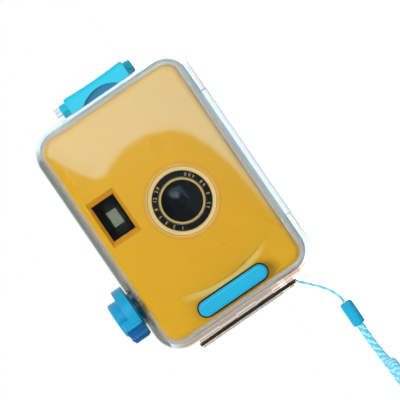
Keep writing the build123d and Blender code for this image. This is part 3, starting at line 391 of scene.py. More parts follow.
class Finish(Nodes):
    """The node tree of one material."""

    def __init__(self, name: str) -> None:
        """Starts an empty material.

        Args:
            name: The material's name.
        """
        self.material = bpy.data.materials.new(name)
        super().__init__(self.material)

    def place(self) -> bpy.types.NodeSocket:
        """The place on the object, in metres, in the model's frame."""
        return self.node("TexCoord").outputs["Object"]

    def axes(self) -> tuple[Socket, Socket, Socket]:
        """The place's X, Y and Z."""
        split = self.node("SeparateXYZ", Vector=self.place())
        return self.value(split, "X"), self.value(split, "Y"), self.value(split, "Z")

    def noise(self, scale: float, detail: float = 2.0, rough: float = 0.5) -> Socket:
        """Cloudy noise from 0 to 1.

        Args:
            scale: Waves per metre.
            detail: Octaves.
            rough: How strong the fine octaves are.

        Returns:
            The noise's value.
        """
        node = self.node(
            "TexNoise", Vector=self.place(), Scale=scale, Detail=detail, Roughness=rough
        )
        return self.value(node, "Fac")

    def clouds(self) -> Socket:
        """The soft colour clouds of moulded plastic."""
        return self.noise(scale=60, detail=3)

    def handled(self, roughness: float, spread: float) -> Socket:
        """A roughness that varies with handling marks.

        Args:
            roughness: Its middle.
            spread: How far it varies in all.

        Returns:
            The roughness.
        """
        return roughness + (self.noise(scale=220, detail=4, rough=0.6) - 0.5) * spread

    def mix(self, share: object, first: object, second: object) -> bpy.types.NodeSocket:
        """Blends two colours.

        Args:
            share: The second colour's share, a number or a Socket.
            first: A colour or a socket.
            second: A colour or a socket.

        Returns:
            The blended colour's socket.
        """
        node = self.node("Mix", {"data_type": "RGBA"}, in0=share, in6=first, in7=second)
        return node.outputs[2]

    def bump(self, height: Socket, strength: float, distance: float) -> bpy.types.NodeSocket:
        """A relief.

        Args:
            height: Its height from 0 to 1.
            strength: How much of it shows.
            distance: Its full height in metres.

        Returns:
            The normal's socket.
        """
        node = self.node("Bump", Height=height, Strength=strength, Distance=distance)
        return node.outputs["Normal"]

    def show(self, shader: bpy.types.Node) -> bpy.types.Material:
        """Ends the tree in this shader and returns the material."""
        self.node("OutputMaterial", Surface=shader.outputs[0])
        return self.material


@dataclass(frozen=True)
class MouldedPlastic:
    """An opaque moulded plastic with slight waviness and handling marks."""

    name: str
    colour: Colour
    roughness: float = 0.3
    spread: float = 0.06
    grain: float = 0.0
    grain_scale: float = 2500.0
    coat: float = 0.0
    marks: float = 0.12
    least_roughness: float = 0.04
    least_grain: float = 0.02
    grain_depth: float = 0.00005
    grain_growth: float = 0.00015

    def build(self) -> bpy.types.Material:
        """Builds the material.

        Returns:
            The material.
        """
        finish = Finish(self.name)
        shade = tuple(channel * (1 - self.spread) for channel in self.colour[:3]) + (1.0,)
        depth = self.grain_depth + self.grain_growth * self.grain
        fine = finish.noise(self.grain_scale)
        shader = finish.node(
            "BsdfPrincipled",
            Base_Color=finish.mix(finish.clouds(), self.colour, shade),
            Roughness=finish.handled(self.roughness, self.marks).at_least(self.least_roughness),
            Normal=finish.bump(fine, self.least_grain + self.grain, depth),
            Coat_Weight=self.coat,
            Coat_Roughness=0.08,
        )
        return finish.show(shader)


@dataclass(frozen=True)
class CoverPlastic:
    """The yellow cover, with a painted highlight ring round the lens with a gold line in its groove,
    painted shade on the finder bevel, in the grip scoop and in a ring round that highlight, and a
    painted highlight along the scoop's edge.
    """

    name: str = "yellow_cover"
    colour: Colour = linear(228, 166, 18)
    deep: Colour = linear(222, 146, 20)
    # A deeper yellow for painted shade: on the finder bevel, in the grip scoop and in a ring round the
    # lens's highlight ring.
    painted_shade_orange: Colour = linear(206, 124, 20)
    # The light yellow of the painted highlight along the grip scoop's edge.
    pale: Colour = linear(255, 228, 128)
    # The painted highlight ring round the lens, with a gold line along its groove.
    highlight_cream: Colour = linear(246, 206, 136)
    gold: Colour = linear(170, 100, 46)
    cloud_scale: float = 14.0
    cloud_share: float = 0.4
    ring_inner: float = 0.0141
    ring_outer: float = 0.0168
    ring_fade: float = 0.00048
    ring_share: float = 0.9
    groove: float = 0.0161
    groove_half: float = 0.0004
    # A painted shade ring just outside the highlight ring.
    shade_ring: float = 0.0176
    shade_ring_half: float = 0.0011
    shade_ring_share: float = 0.35
    finder: Pair = (0.0093, 0.0693)
    finder_half: Pair = (0.0119, 0.0076)
    # How much painted shade the finder bevel takes.
    bevel_shade_share: float = 0.7
    scoop: Pair = (0.0182, 0.0415)
    scoop_radius: float = 0.061
    scoop_half: float = 0.024
    # How much painted shade the grip scoop takes.
    scoop_shade_share: float = 0.25
    # The width, softness and share of the painted highlight along the scoop's edge.
    highlight_width: float = 0.0040
    highlight_soft: float = 0.5
    highlight_share: float = 0.8
    roughness: float = 0.28
    wave_scale: float = 40.0
    roughness_spread: float = 0.04
    grain_scale: float = 2600.0
    grain: float = 0.02

    def scooped(self, finish: Finish, along: Socket, up: Socket) -> bpy.types.NodeSocket:
        """The cover's colour with the shallow scoop beside the trigger, with painted shade inside it.

        Args:
            finish: The material's tree.
            along: The place's X.
            up: The place's Z.

        Returns:
            The colour, with painted shade in the scoop and a painted highlight along its edge.
        """
        clouds = finish.noise(self.cloud_scale, detail=1) * self.cloud_share
        base = finish.mix(clouds, self.colour, self.deep)
        out = reach(along, up, self.scoop) - self.scoop_radius
        rise = (up - self.scoop[1]) / self.scoop_half
        taper = (1 - rise * rise).at_least(0) * (0 - along).above(0)
        left = out.above(0) * taper
        # Painted shade inside the scoop.
        shaded = finish.mix(left * self.scoop_shade_share, base, self.painted_shade_orange)
        # Painted highlight along the scoop's edge, fading away from it.
        edge = ((1 - out / self.highlight_width).at_least(0) / self.highlight_soft).at_most(1)
        return finish.mix(left * edge * self.highlight_share, shaded, self.pale)

    def build(self) -> bpy.types.Material:
        """Builds the material.

        Returns:
            The material.
        """
        finish = Finish(self.name)
        along, _, up = finish.axes()
        # Painted shade on the finder's bevel.
        off_x = (along - self.finder[0]).size() - self.finder_half[0]
        off_z = (up - self.finder[1]).size() - self.finder_half[1]
        bevel = 1 - (off_x.at_least(off_z) / PRINT_EDGE).held()
        scooped = self.scooped(finish, along, up)
        bevel_shaded = finish.mix(bevel * self.bevel_shade_share, scooped, self.painted_shade_orange)
        # Painted highlight ring round the lens, with a gold line along its groove.
        radius = reach(along, up, LENS_AXIS)
        inside = ((self.ring_outer - radius) / self.ring_fade).held()
        ring = inside * ((radius - self.ring_inner) / PRINT_EDGE).held()
        level = ((radius - self.groove).size() / self.groove_half).at_most(1)
        # Painted shade in a ring just outside the highlight ring.
        shade_ring = (1 - (radius - self.shade_ring).size() / self.shade_ring_half).at_least(0)
        ring_shaded = finish.mix(shade_ring * self.shade_ring_share, bevel_shaded, self.painted_shade_orange)
        grooved = finish.mix(level, self.gold, self.highlight_cream)
        relief = level * ring + finish.noise(self.grain_scale) * self.grain
        waves = finish.noise(self.wave_scale, detail=1)
        shader = finish.node(
            "BsdfPrincipled",
            Base_Color=finish.mix(ring * self.ring_share, ring_shaded, grooved),
            Roughness=self.roughness + (waves - 0.5) * self.roughness_spread,
            Normal=finish.bump(relief, strength=0.25, distance=0.0001),
            Coat_Weight=0.2,
            Coat_Roughness=0.1,
        )
        return finish.show(shader)


@dataclass(frozen=True)
class RecessShadePlastic:
    """Blue moulded plastic with painted shade in its recesses."""

    name: str
    colour: Colour
    second: Colour
    shade: Colour
    shade_evenness: float
    cloud_share: float = 0.3
    roughness: float = 0.3
    marks: float = 0.1

    def shade_mask(self, finish: Finish) -> Socket:
        """Where the painted shade sits, which each kind of plastic says for itself.

        Args:
            finish: The material's tree.

        Returns:
            The painted shade, from 0 to 1.
        """
        raise NotImplementedError

    def build(self) -> bpy.types.Material:
        """Builds the material.

        Returns:
            The material.
        """
        finish = Finish(self.name)
        clouds = finish.clouds()
        unshaded = finish.mix(clouds * self.cloud_share, self.colour, self.second)
        # Painted shade: the shade colour where the mask is 1, a little uneven with the clouds.
        dark = self.shade_mask(finish) * (self.shade_evenness + clouds * (1 - self.shade_evenness))
        shader = finish.node(
            "BsdfPrincipled",
            Base_Color=finish.mix(dark, unshaded, self.shade),
            Roughness=finish.handled(self.roughness, self.marks),
            Normal=finish.bump(finish.noise(scale=2500), strength=0.02, distance=0.00005),
        )
        return finish.show(shader)


@dataclass(frozen=True)
class LatchPlastic(RecessShadePlastic):
    """The latch's plastic, with painted shade in the thumb recess."""

    name: str = "latch_plastic"
    colour: Colour = linear(10, 172, 200)
    second: Colour = linear(8, 156, 190)
    # The painted shade's colour in the thumb recess.
    shade: Colour = linear(4, 84, 136)
    shade_evenness: float = 0.75
    recess: Pair = (0.0492, 0.04195)
    recess_radius: float = 0.0150
    recess_edge: float = 0.0002
    front: float = 0.0014

    def shade_mask(self, finish: Finish) -> Socket:
        """The round recess, on the latch's front only.

        Args:
            finish: The material's tree.

        Returns:
            1 in the recess and 0 away from it.
        """
        along, depth, up = finish.axes()
        inside = self.recess_radius - reach(along, up, self.recess)
        return (inside / self.recess_edge).held() * depth.above(self.front)


@dataclass(frozen=True)
class KnobPlastic(RecessShadePlastic):
    """The knob's plastic, with painted shade in the flutes between its grip ribs."""

    name: str = "knob_plastic"
    colour: Colour = linear(2, 138, 180)
    second: Colour = linear(3, 124, 170)
    # The painted shade's colour in the flutes.
    shade: Colour = linear(2, 72, 132)
    shade_evenness: float = 0.7
    axis: Pair = (-0.0318, -0.0026)
    flute_out: float = 0.0149
    flute_radius: float = 0.0032
    flute_angles: Pair = (229.2, 202.5)
    soft: float = 0.0006

    def flute(self, finish: Finish, angle: float) -> Socket:
        """One flute.

        Args:
            finish: The material's tree.
            angle: Its place round the knob, in degrees from +X.

        Returns:
            1 in the flute and 0 away from it.
        """
        east, north, _ = finish.axes()
        turn = math.radians(angle)
        middle = (
            self.axis[0] + self.flute_out * math.cos(turn),
            self.axis[1] + self.flute_out * math.sin(turn),
        )
        return (1 + (self.flute_radius - reach(east, north, middle)) / self.soft).held()

    def shade_mask(self, finish: Finish) -> Socket:
        """Both flutes."""
        first, second = (self.flute(finish, angle) for angle in self.flute_angles)
        return first.at_least(second)


@dataclass(frozen=True)
class Metal:
    """A metal with fine brushing and roughness uneven from wear, which may be painted outside a radius.
    """

    name: str
    colour: Colour
    roughness: float = 0.25
    metallic: float = 1.0
    painted_from: float | None = None
    paint: Colour = linear(24, 23, 24)
    brushing: Triple = (300.0, 300.0, 9000.0)
    roughness_spread: float = 0.2
    least_roughness: float = 0.06

    def build(self) -> bpy.types.Material:
        """Builds the material.

        Returns:
            The material.
        """
        finish = Finish(self.name)
        stretched = finish.node("Mapping", Vector=finish.place(), Scale=self.brushing)
        brushes = finish.node("TexNoise", Vector=stretched.outputs[0], Scale=1.0, Detail=3.0)
        brushed = finish.value(brushes, "Fac")
        rough = self.roughness + (brushed - 0.5) * self.roughness_spread
        colour = self.colour
        if self.painted_from is not None:
            along, _, up = finish.axes()
            outside = reach(along, up, LENS_AXIS) - self.painted_from
            colour = finish.mix((outside / PRINT_EDGE).held(), self.colour, self.paint)
        shader = finish.node(
            "BsdfPrincipled",
            Base_Color=colour,
            Metallic=self.metallic,
            Roughness=rough.at_least(self.least_roughness),
            Normal=finish.bump(brushed, strength=0.08, distance=0.00004),
        )
        return finish.show(shader)


@dataclass(frozen=True)
class ClearPlastic:
    """Clear moulded plastic that lets the lamps' light through.

    The tub's hinge side and the flange's top edge can take a painted reflection of their own,
    of the room that their thick edges gather. By default both are off.
    """

    name: str
    tint: Colour
    ior: float = 1.49
    roughness: float = 0.0
    plain: float = 0.0
    # Painted reflections in the thick edges: light brown on the hinge side, dark olive on the top edge.
    hinge_reflection: Colour = linear(196, 150, 112)
    hinge_side: float = -1.0
    hinge_fade: float = 0.003
    top_reflection: Colour = linear(88, 84, 52)
    top_side: float = 1.0
    top_end: float = 0.056
    top_fade: float = 0.006
    reflection_share: float = 0.85

    def build(self) -> bpy.types.Material:
        """Builds the material.

        Returns:
            The material.
        """
        finish = Finish(self.name)
        east, _, up = finish.axes()
        # Painted reflections of the room in the thick edges.
        hinge = ((self.hinge_side - east) / self.hinge_fade).held()
        top = up.above(self.top_side) * ((self.top_end - east) / self.top_fade).held()
        sided = finish.mix(hinge * self.reflection_share, self.tint, self.hinge_reflection)
        waves = finish.noise(scale=30, detail=1)
        solid = finish.node(
            "BsdfPrincipled",
            Base_Color=finish.mix(top * self.reflection_share, sided, self.top_reflection),
            Roughness=self.roughness,
            IOR=self.ior,
            Transmission_Weight=1.0,
            Normal=finish.bump(waves, strength=0.05, distance=0.0002),
        )
        through = finish.node("BsdfTransparent", Color=self.tint)
        shadow = finish.value(finish.node("LightPath"), "Is Shadow Ray")
        shader = finish.node(
            "MixShader",
            in0=shadow.at_least(self.plain),
            in1=solid.outputs[0],
            in2=through.outputs[0],
        )
        return finish.show(shader)


@dataclass(frozen=True)
class BraidedFibre:
    """The strap's fibre, in two tones by strand, with a fluff of one colour over both."""

    name: str = "braided_cord"
    layer: str = "tone"
    dark: Colour = linear(34, 122, 168)
    light: Colour = linear(156, 226, 242)
    fluff: Colour = linear(76, 170, 208)
    fluff_share: float = 0.35

    def build(self) -> bpy.types.Material:
        """Builds the material.

        Returns:
            The material.
        """
        finish = Finish(self.name)
        fine = finish.noise(scale=5200, detail=3, rough=0.7)
        strands = finish.mix(finish.painted(self.layer), self.dark, self.light)
        shader = finish.node(
            "BsdfPrincipled",
            Base_Color=finish.mix(fine * self.fluff_share, strands, self.fluff),
            Roughness=0.7,
            Normal=finish.bump(fine, strength=0.3, distance=0.00008),
        )
        return finish.show(shader)


@dataclass(frozen=True)
class PaleFloor:
    """The floor: matt near the object and white where it is seen far off."""

    name: str = "pale_floor"
    clear: float = 0.16
    far: float = 0.6
    shade: float = 0.94
    glow: float = 0.55
    near_mirrored: float = 0.12
    far_mirrored: float = 0.05

    def build(self) -> bpy.types.Material:
        """Builds the material.

        Returns:
            The material.
        """
        finish = Finish(self.name)
        east, north, _ = finish.axes()
        out = ((reach(east, north) - self.clear) / (self.far - self.clear)).held()
        plain = finish.node("BsdfDiffuse", Color=(self.shade, self.shade, self.shade, 1.0))
        bright = finish.node("Emission", Strength=(self.glow + out) * finish.seen())
        lit = finish.node("AddShader", in0=plain.outputs[0], in1=bright.outputs[0])
        strength = self.near_mirrored + out * (self.far_mirrored - self.near_mirrored)
        dim = finish.node("Emission", Strength=strength)
        mirrored = finish.mirrored()
        return finish.show(
            finish.node("MixShader", in0=mirrored, in1=lit.outputs[0], in2=dim.outputs[0])
        )


@dataclass(frozen=True)
class CardGlow:
    """The light of the card that the window mirrors, which fades where its points say."""

    name: str = "glow_card"
    layer: str = "glow"
    colour: Colour = (0.27, 0.75, 0.93, 1.0)
    strength: float = 7.5

    def build(self) -> bpy.types.Material:
        """Builds the material.

        Returns:
            The material.
        """
        finish = Finish(self.name)
        strength = finish.painted(self.layer) * self.strength
        light = finish.node("Emission", Color=self.colour, Strength=strength)
        clear = finish.node("BsdfTransparent")
        return finish.show(
            finish.node("AddShader", in0=light.outputs[0], in1=clear.outputs[0])
        )


class Look(Enum):
    """Every finish of the object, by what it is made of."""

    CLEAR = ClearPlastic(
        "clear_polycarbonate",
        linear(244, 249, 251),
        plain=0.5,
        hinge_side=-0.0565,
        top_side=0.0816,
    )
    PIN = ClearPlastic("clear_pin", linear(250, 252, 253), plain=0.9)
    SILICONE = ClearPlastic("clear_silicone", linear(238, 242, 244), ior=1.41, roughness=0.3, plain=0.4)
    EYEPIECE = ClearPlastic("smoked_eyepiece", linear(166, 168, 138))
    GLASS = ClearPlastic("lens_glass", linear(235, 242, 245), ior=1.52)
    YELLOW = CoverPlastic()
    LATCH = LatchPlastic()
    KNOB = KnobPlastic()
    FIBRE = BraidedFibre()
    PRINT = MouldedPlastic("gold_print", linear(204, 166, 108), roughness=0.45, spread=0.1)
    BLUE = MouldedPlastic("blue_plastic", linear(5, 152, 190), roughness=0.3, spread=0.14)
    BLACK = MouldedPlastic("black_plastic", linear(26, 26, 28), roughness=0.5, spread=0.2, grain=0.3)
    LACQUER = MouldedPlastic("black_lacquer", linear(24, 23, 24), roughness=0.22, spread=0.1, coat=0.5)
    WHITE = MouldedPlastic("white_plastic", linear(232, 230, 222), roughness=0.4, spread=0.04)
    # The boot's near-black is partly its rubber's own colour and partly painted shadow in the gap round
    # the trigger bar.
    BOOT = MouldedPlastic("dark_rubber", linear(20, 24, 34), roughness=0.6, spread=0.2, grain=0.3)
    RUBBER = MouldedPlastic("black_rubber", linear(30, 29, 28), roughness=0.6, spread=0.2, grain=0.4)
    FOAM = MouldedPlastic(
        "dark_foam",
        linear(60, 60, 64),
        roughness=0.85,
        spread=0.3,
        grain=1.0,
        grain_scale=1200.0,
    )
    FILM = MouldedPlastic("film_base", linear(96, 74, 62), roughness=0.2, spread=0.1)
    CAN = MouldedPlastic("printed_can", linear(150, 150, 152), roughness=0.3, spread=0.1)
    STEEL = Metal("bright_steel", linear(205, 205, 207), roughness=0.22)
    GOLD = Metal(
        "gold_trim",
        linear(228, 184, 114),
        roughness=0.34,
        metallic=0.35,
        painted_from=0.0106,
    )


NODES_BY_LOOK: dict[Look, tuple[str, ...]] = {
    Look.CLEAR: ("case_front", "case_door"),
    Look.PIN: ("latch_pin",),
    Look.GLASS: ("front_lens", "rear_lens", "finder_pane", "counter_glass"),
    Look.EYEPIECE: ("eyepiece",),
    Look.YELLOW: ("camera_cover", "camera_body"),
    Look.BLUE: ("trigger_bar", "strap_ferrule"),
    Look.KNOB: ("winding_knob",),
    Look.LATCH: ("latch_lever",),
    Look.BLACK: (
        "camera_back",
        "back_catch",
        "lens_barrel",
        "finder_tunnel",
        "shutter_plate",
        "shutter_blade",
        "release_button",
        "take_up_spool",
        "sprocket",
        "rewind_crank",
        "cartridge_spool",
        "pressure_plate",
    ),
    Look.LACQUER: ("name_ring",),
    Look.WHITE: ("counter_dial",),
    Look.BOOT: ("trigger_boot",),
    Look.RUBBER: ("knob_seal",),
    Look.SILICONE: ("case_seal",),
    Look.FILM: ("film_strip",),
    Look.CAN: ("film_cartridge",),
    Look.GOLD: ("trim_ring",),
    Look.STEEL: (
        "hinge_pin",
        "trigger_stems",
        "cover_screws",
        "pressure_spring",
        "ratchet_pawl",
        "shaft_clip",
        "knob_shaft",
        "release_arm",
    ),
}


class Wardrobe:
    """Builds each finish once and hands it out."""

    def __init__(self) -> None:
        """Starts with no finish built."""
        self.built: dict[Look, bpy.types.Material] = {}

    def get(self, look: Look) -> bpy.types.Material:
        """Hands out a finish, which is built the first time.

        Args:
            look: The finish.

        Returns:
            Its material.
        """
        if look not in self.built:
            self.built[look] = look.value.build()
        return self.built[look]

    def dress(self, look: Look, nodes: tuple[str, ...]) -> None:
        """Gives CAD nodes a finish.

        Args:
            look: The finish.
            nodes: The nodes' names.
        """
        for name in nodes:
            mesh = FRAME["nodes"][name].data
            mesh.materials.clear()
            mesh.materials.append(self.get(look))
            log.info("%s: %s", name, look.name.lower())


@dataclass
class Photographer:
    """The camera that looks as the photograph does."""

    target: Triple = (-0.00654, 0.0078, 0.0315)
    width_at_target: float = 0.18864
    sensor: float = 36.0
    roll: float = math.radians(235.58886)
    nearest: float = 0.01
    furthest: float = 20.0

    def build(self) -> None:
        """Sets up the camera."""
        data = bpy.data.cameras.new("photographer")
        eye = place_data("photographer", data)
        sight = Vector(EYE) - Vector(self.target)
        back = sight.normalized()
        level = Vector((0, 0, 1)).cross(back).normalized()
        upright = back.cross(level)
        across = level * math.cos(self.roll) + upright * math.sin(self.roll)
        over = back.cross(across)
        eye.matrix_world = Matrix(
            (
                (across.x, over.x, back.x, EYE[0]),
                (across.y, over.y, back.y, EYE[1]),
                (across.z, over.z, back.z, EYE[2]),
                (0, 0, 0, 1),
            )
        )
        data.sensor_width = self.sensor
        data.lens = self.sensor * sight.length / self.width_at_target
        data.clip_start = self.nearest
        data.clip_end = self.furthest
        bpy.context.scene.camera = eye
        log.info("camera: %.1f mm lens", data.lens)


@dataclass
class TriggerSprings:
    """The two coil springs behind the trigger bar, built at rest; here they do not shorten as it is
    pressed.
    """

    places: tuple[Pair, Pair] = ((-0.0494, 0.0327), (-0.0494, 0.0527))
    coil_radius: float = 0.00195
    wire_radius: float = 0.00025
    turns: int = 4
    steps: int = 200
    sides: int = 10
    travel: float = 0.0015

    def coil(self, east: float, up: float, front: float, back: float) -> Rings:
        """The wire's rings of one spring.

        Args:
            east: The X of its middle line.
            up: The Z of its middle line.
            front: Where the wire starts, along Y.
            back: Where it ends.

        Returns:
            The rings from front to back.
        """
        rings = []
        for step in range(self.steps + 1):
            share = step / self.steps
            turn = math.tau * self.turns * share
            out = Vector((math.cos(turn), 0, math.sin(turn)))
            middle = Vector((east, front + (back - front) * share, up)) + out * self.coil_radius
            rings.append(circle(middle, out, Vector((0, 1, 0)), self.wire_radius, self.sides))
        return rings

    def build(self, steel: bpy.types.Material) -> None:
        """Winds the springs in place of the plain solids.

        Args:
            steel: Their finish.
        """
        low, high = (Vector(corner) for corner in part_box("trigger_springs"))
        mesh = bmesh.new()
        for east, up in self.places:
            tube(mesh, self.coil(east, up, low.y + self.wire_radius, high.y - self.wire_radius))
        springs = place_smooth("coil_springs", mesh)
        springs.data.materials.append(steel)
        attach(springs, "housing")
        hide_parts("trigger_springs")
        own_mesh(springs)
        log.info("trigger springs built")


@dataclass
class FoamPad:
    """The foam in the door: flat on the door and crowned towards the camera."""

    cells: tuple[int, int] = (40, 28)
    crown: float = 0.0009
    flatness: int = 8
    pinch: float = 0.0007
    bulge: float = 0.0003
    side_rings: int = 5

    def skin(self, mesh: bmesh.types.BMesh, low: Vector, high: Vector, front: bool) -> Grid:
        """One face of the pad as a grid of points.

        Args:
            mesh: The mesh that takes it.
            low: The lowest corner of the pad's box.
            high: The highest corner of it.
            front: True for the crowned face, False for the flat one.

        Returns:
            The points, row by row.
        """
        middle, half = (low + high) / 2, (high - low) / 2
        columns, rows = self.cells
        grid = []
        for row in range(rows + 1):
            line = []
            up = 2 * row / rows - 1
            for column in range(columns + 1):
                across = 2 * column / columns - 1
                full = (1 - across**self.flatness) * (1 - up**self.flatness)
                wide = half.x - self.bulge - self.pinch * (1 - up * up)
                tall = half.z - self.bulge - self.pinch * (1 - across * across)
                depth = low.y + self.crown * (1 - full) if front else high.y
                spot = (middle.x + across * wide, depth, middle.z + up * tall)
                line.append(mesh.verts.new(spot))
            grid.append(line)
        return grid

    def border(self) -> list[tuple[int, int]]:
        """Walks round a face's edge.

        Returns:
            The row and column of each of its points.
        """
        columns, rows = self.cells
        places = [(0, column) for column in range(columns)]
        places += [(row, columns) for row in range(rows)]
        places += [(rows, column) for column in range(columns, 0, -1)]
        places += [(row, 0) for row in range(rows, 0, -1)]
        return places

    def build(self, foam: bpy.types.Material) -> None:
        """Builds the pad in place of its plain solid.

        Args:
            foam: Its finish.
        """
        low, high = (Vector(corner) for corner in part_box("door_pad"))
        middle = (low + high) / 2
        mesh = bmesh.new()
        front, rear = (self.skin(mesh, low, high, crowned) for crowned in (True, False))
        stitch(mesh, front)
        stitch(mesh, rear)
        border = self.border()
        rings = [[front[row][column] for row, column in border]]
        for step in range(1, self.side_rings):
            share = step / self.side_rings
            ring = []
            for row, column in border:
                spot = front[row][column].co.lerp(rear[row][column].co, share)
                out = Vector((spot.x - middle.x, 0, spot.z - middle.z)).normalized()
                ring.append(mesh.verts.new(spot + out * self.bulge * math.sin(math.pi * share)))
            rings.append(ring)
        rings.append([rear[row][column] for row, column in border])
        stitch(mesh, rings, closed=True)
        pad = place_smooth("foam_pad", mesh)
        pad.data.materials.append(foam)
        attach(pad, "rear_door")
        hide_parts("door_pad")
        log.info("foam pad built")


@dataclass
class WristStrap:
    """The braided wrist cord and the thin tie from its ferrule to the lug."""

    diameter: float = 0.004
    length: float = 0.2574
    points: tuple[Triple, ...] = (
        (-0.096, -0.0072, 0.00305),
        (-0.107, -0.0072, 0.00305),
        (-0.126, -0.0064, 0.0020),
        (-0.148, -0.011, 0.0020),
        (-0.166, -0.024, 0.0020),
        (-0.175, -0.044, 0.0020),
        (-0.172, -0.065, 0.0020),
        (-0.158, -0.082, 0.0020),
        (-0.138, -0.087, 0.0020),
        (-0.121, -0.077, 0.0020),
        (-0.114, -0.058, 0.0020),
        (-0.117, -0.038, 0.0020),
        (-0.1185, -0.022, 0.0020),
        (-0.1075, -0.0118, 0.00305),
        (-0.096, -0.0118, 0.00305),
    )
    tie_points: tuple[Triple, ...] = (
        (-0.084, -0.0063, 0.00305),
        (-0.077, -0.0063, 0.00305),
        (-0.063, -0.0063, 0.016),
        (-0.063, -0.0127, 0.016),
        (-0.077, -0.0127, 0.00305),
        (-0.084, -0.0127, 0.00305),
    )
    step: float = 0.00045
    curve_steps: int = 24
    tones: Pair = (0.45, 1.0)
    round_sides: int = 8
    plies: int = 3
    ply_pitch: float = 0.005
    ply_out: float = 0.00034
    ply_radius: float = 0.00036
    core_radius: float = 0.0012
    strands: int = 6
    strand_half: Pair = (0.00058, 0.00042)
    strand_sides: int = 6
    braid_pitch: float = 0.0135
    braid_radius: float = 0.00138
    braid_weave: float = 0.0002

    def route(self, points: tuple[Triple, ...]) -> list[Vector]:
        """The points along a cord's middle, read from its spline.

        Args:
            points: The spline's control points.

        Returns:
            Points at an even step, from end to end.
        """
        data = bpy.data.curves.new("cord_route", "CURVE")
        data.dimensions = "3D"
        line = data.splines.new("NURBS")
        line.points.add(len(points) - 1)
        for point, place in zip(line.points, points):
            point.co = (*place, 1.0)
        line.order_u = 3
        line.use_endpoint_u = True
        line.resolution_u = self.curve_steps
        guide = place_data("cord_route", data)
        mesh = bpy.data.meshes.new_from_object(guide)
        rough = [vertex.co.copy() for vertex in mesh.vertices]
        bpy.data.objects.remove(guide)
        bpy.data.meshes.remove(mesh)
        bpy.data.curves.remove(data)
        run = [0.0]
        for before, after in zip(rough, rough[1:]):
            run.append(run[-1] + (after - before).length)
        count = round(run[-1] / self.step)
        even = []
        place = 0
        for index in range(count + 1):
            goal = run[-1] * index / count
            while place < len(run) - 2 and run[place + 1] < goal:
                place += 1
            span = run[place + 1] - run[place]
            share = (goal - run[place]) / span if span else 0.0
            even.append(rough[place].lerp(rough[place + 1], share))
        return even

    def spine(self, path: list[Vector]) -> Spine:
        """Carries a cross-section along the path without twist.

        Args:
            path: The points along the cord's middle.

        Returns:
            Each point with its heading and two directions across it.
        """
        headings = []
        for index in range(len(path)):
            ahead = path[min(index + 1, len(path) - 1)]
            behind = path[max(index - 1, 0)]
            headings.append((ahead - behind).normalized())
        across = headings[0].orthogonal().normalized()
        result = []
        for index, heading in enumerate(headings):
            if index:
                turn: Quaternion = headings[index - 1].rotation_difference(heading)
                across = turn @ across
            across = (across - heading * across.dot(heading)).normalized()
            result.append((path[index], heading, across, heading.cross(across)))
        return result

    def strand(self, spine: Spine, number: int, way: int) -> Rings:
        """The flat rings of one strand of the braid.

        Args:
            spine: The cord's middle.
            number: Which strand.
            way: 1 to wind one way round the core, -1 to wind the other.

        Returns:
            The rings from end to end.
        """
        lean = way * math.tau * self.braid_radius / self.braid_pitch
        rings = []
        for index, (point, heading, across, over) in enumerate(spine):
            turn = math.tau * index * self.step / self.braid_pitch
            angle = way * turn + math.tau * number / self.strands
            weave = way * self.braid_weave * math.cos(self.strands * turn)
            out = across * math.cos(angle) + over * math.sin(angle)
            side = over * math.cos(angle) - across * math.sin(angle)
            width = (side - heading * lean).normalized()
            middle = point + out * (self.braid_radius + weave)
            ring = []
            for bend in even_turn(self.strand_sides):
                flat = width * (math.cos(bend) * self.strand_half[0])
                ring.append(middle + flat + out * (math.sin(bend) * self.strand_half[1]))
            rings.append(ring)
        return rings

    def ply(self, spine: Spine, number: int) -> Rings:
        """The round rings of one ply of the tie.

        Args:
            spine: The tie's middle.
            number: Which ply.

        Returns:
            The rings from end to end.
        """
        rings = []
        for index, (point, _, across, over) in enumerate(spine):
            angle = math.tau * (index * self.step / self.ply_pitch + number / self.plies)
            middle = point + (across * math.cos(angle) + over * math.sin(angle)) * self.ply_out
            rings.append(circle(middle, across, over, self.ply_radius, self.round_sides))
        return rings

    def paint(self, points: Grid, layer: bmesh.types.BMLayerItem, number: int) -> None:
        """Gives a strand or ply its tone.

        Args:
            points: Its points, ring by ring.
            layer: The mesh's layer of tones.
            number: Which strand or ply it is.
        """
        for ring in points:
            for point in ring:
                point[layer] = self.tones[number % len(self.tones)]

    def braid(self, path: list[Vector]) -> bpy.types.Object:
        """Weaves the strands round the cord's core.

        Args:
            path: The points along the cord's middle.

        Returns:
            The cord.
        """
        mesh = bmesh.new()
        layer = mesh.verts.layers.float.new(BraidedFibre.layer)
        spine = self.spine(path)
        core = []
        for point, _, across, over in spine:
            core.append(circle(point, across, over, self.core_radius, self.round_sides))
        tube(mesh, core)
        for way in (1, -1):
            for number in range(self.strands):
                self.paint(tube(mesh, self.strand(spine, number, way)), layer, number)
        return place_smooth("braided_wrist_cord", mesh)

    def twine(self, path: list[Vector]) -> bpy.types.Object:
        """Twists the thin tie from its plies.

        Args:
            path: The points along the tie's middle.

        Returns:
            The tie.
        """
        mesh = bmesh.new()
        layer = mesh.verts.layers.float.new(BraidedFibre.layer)
        spine = self.spine(path)
        for number in range(self.plies):
            self.paint(tube(mesh, self.ply(spine, number)), layer, number)
        return place_smooth("twisted_tie", mesh)

    def build(self, fibre: bpy.types.Material) -> None:
        """Args:
            fibre: Their finish.
        """
        path = self.route(self.points)
        cord = self.braid(path)
        cord.data.materials.append(fibre)
        tie = self.twine(self.route(self.tie_points))
        tie.data.materials.append(fibre)
        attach(tie, "housing")
        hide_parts("strap_tie")
        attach(cord, "housing")
        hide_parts("wrist_cord")
        log.info("wrist strap built")


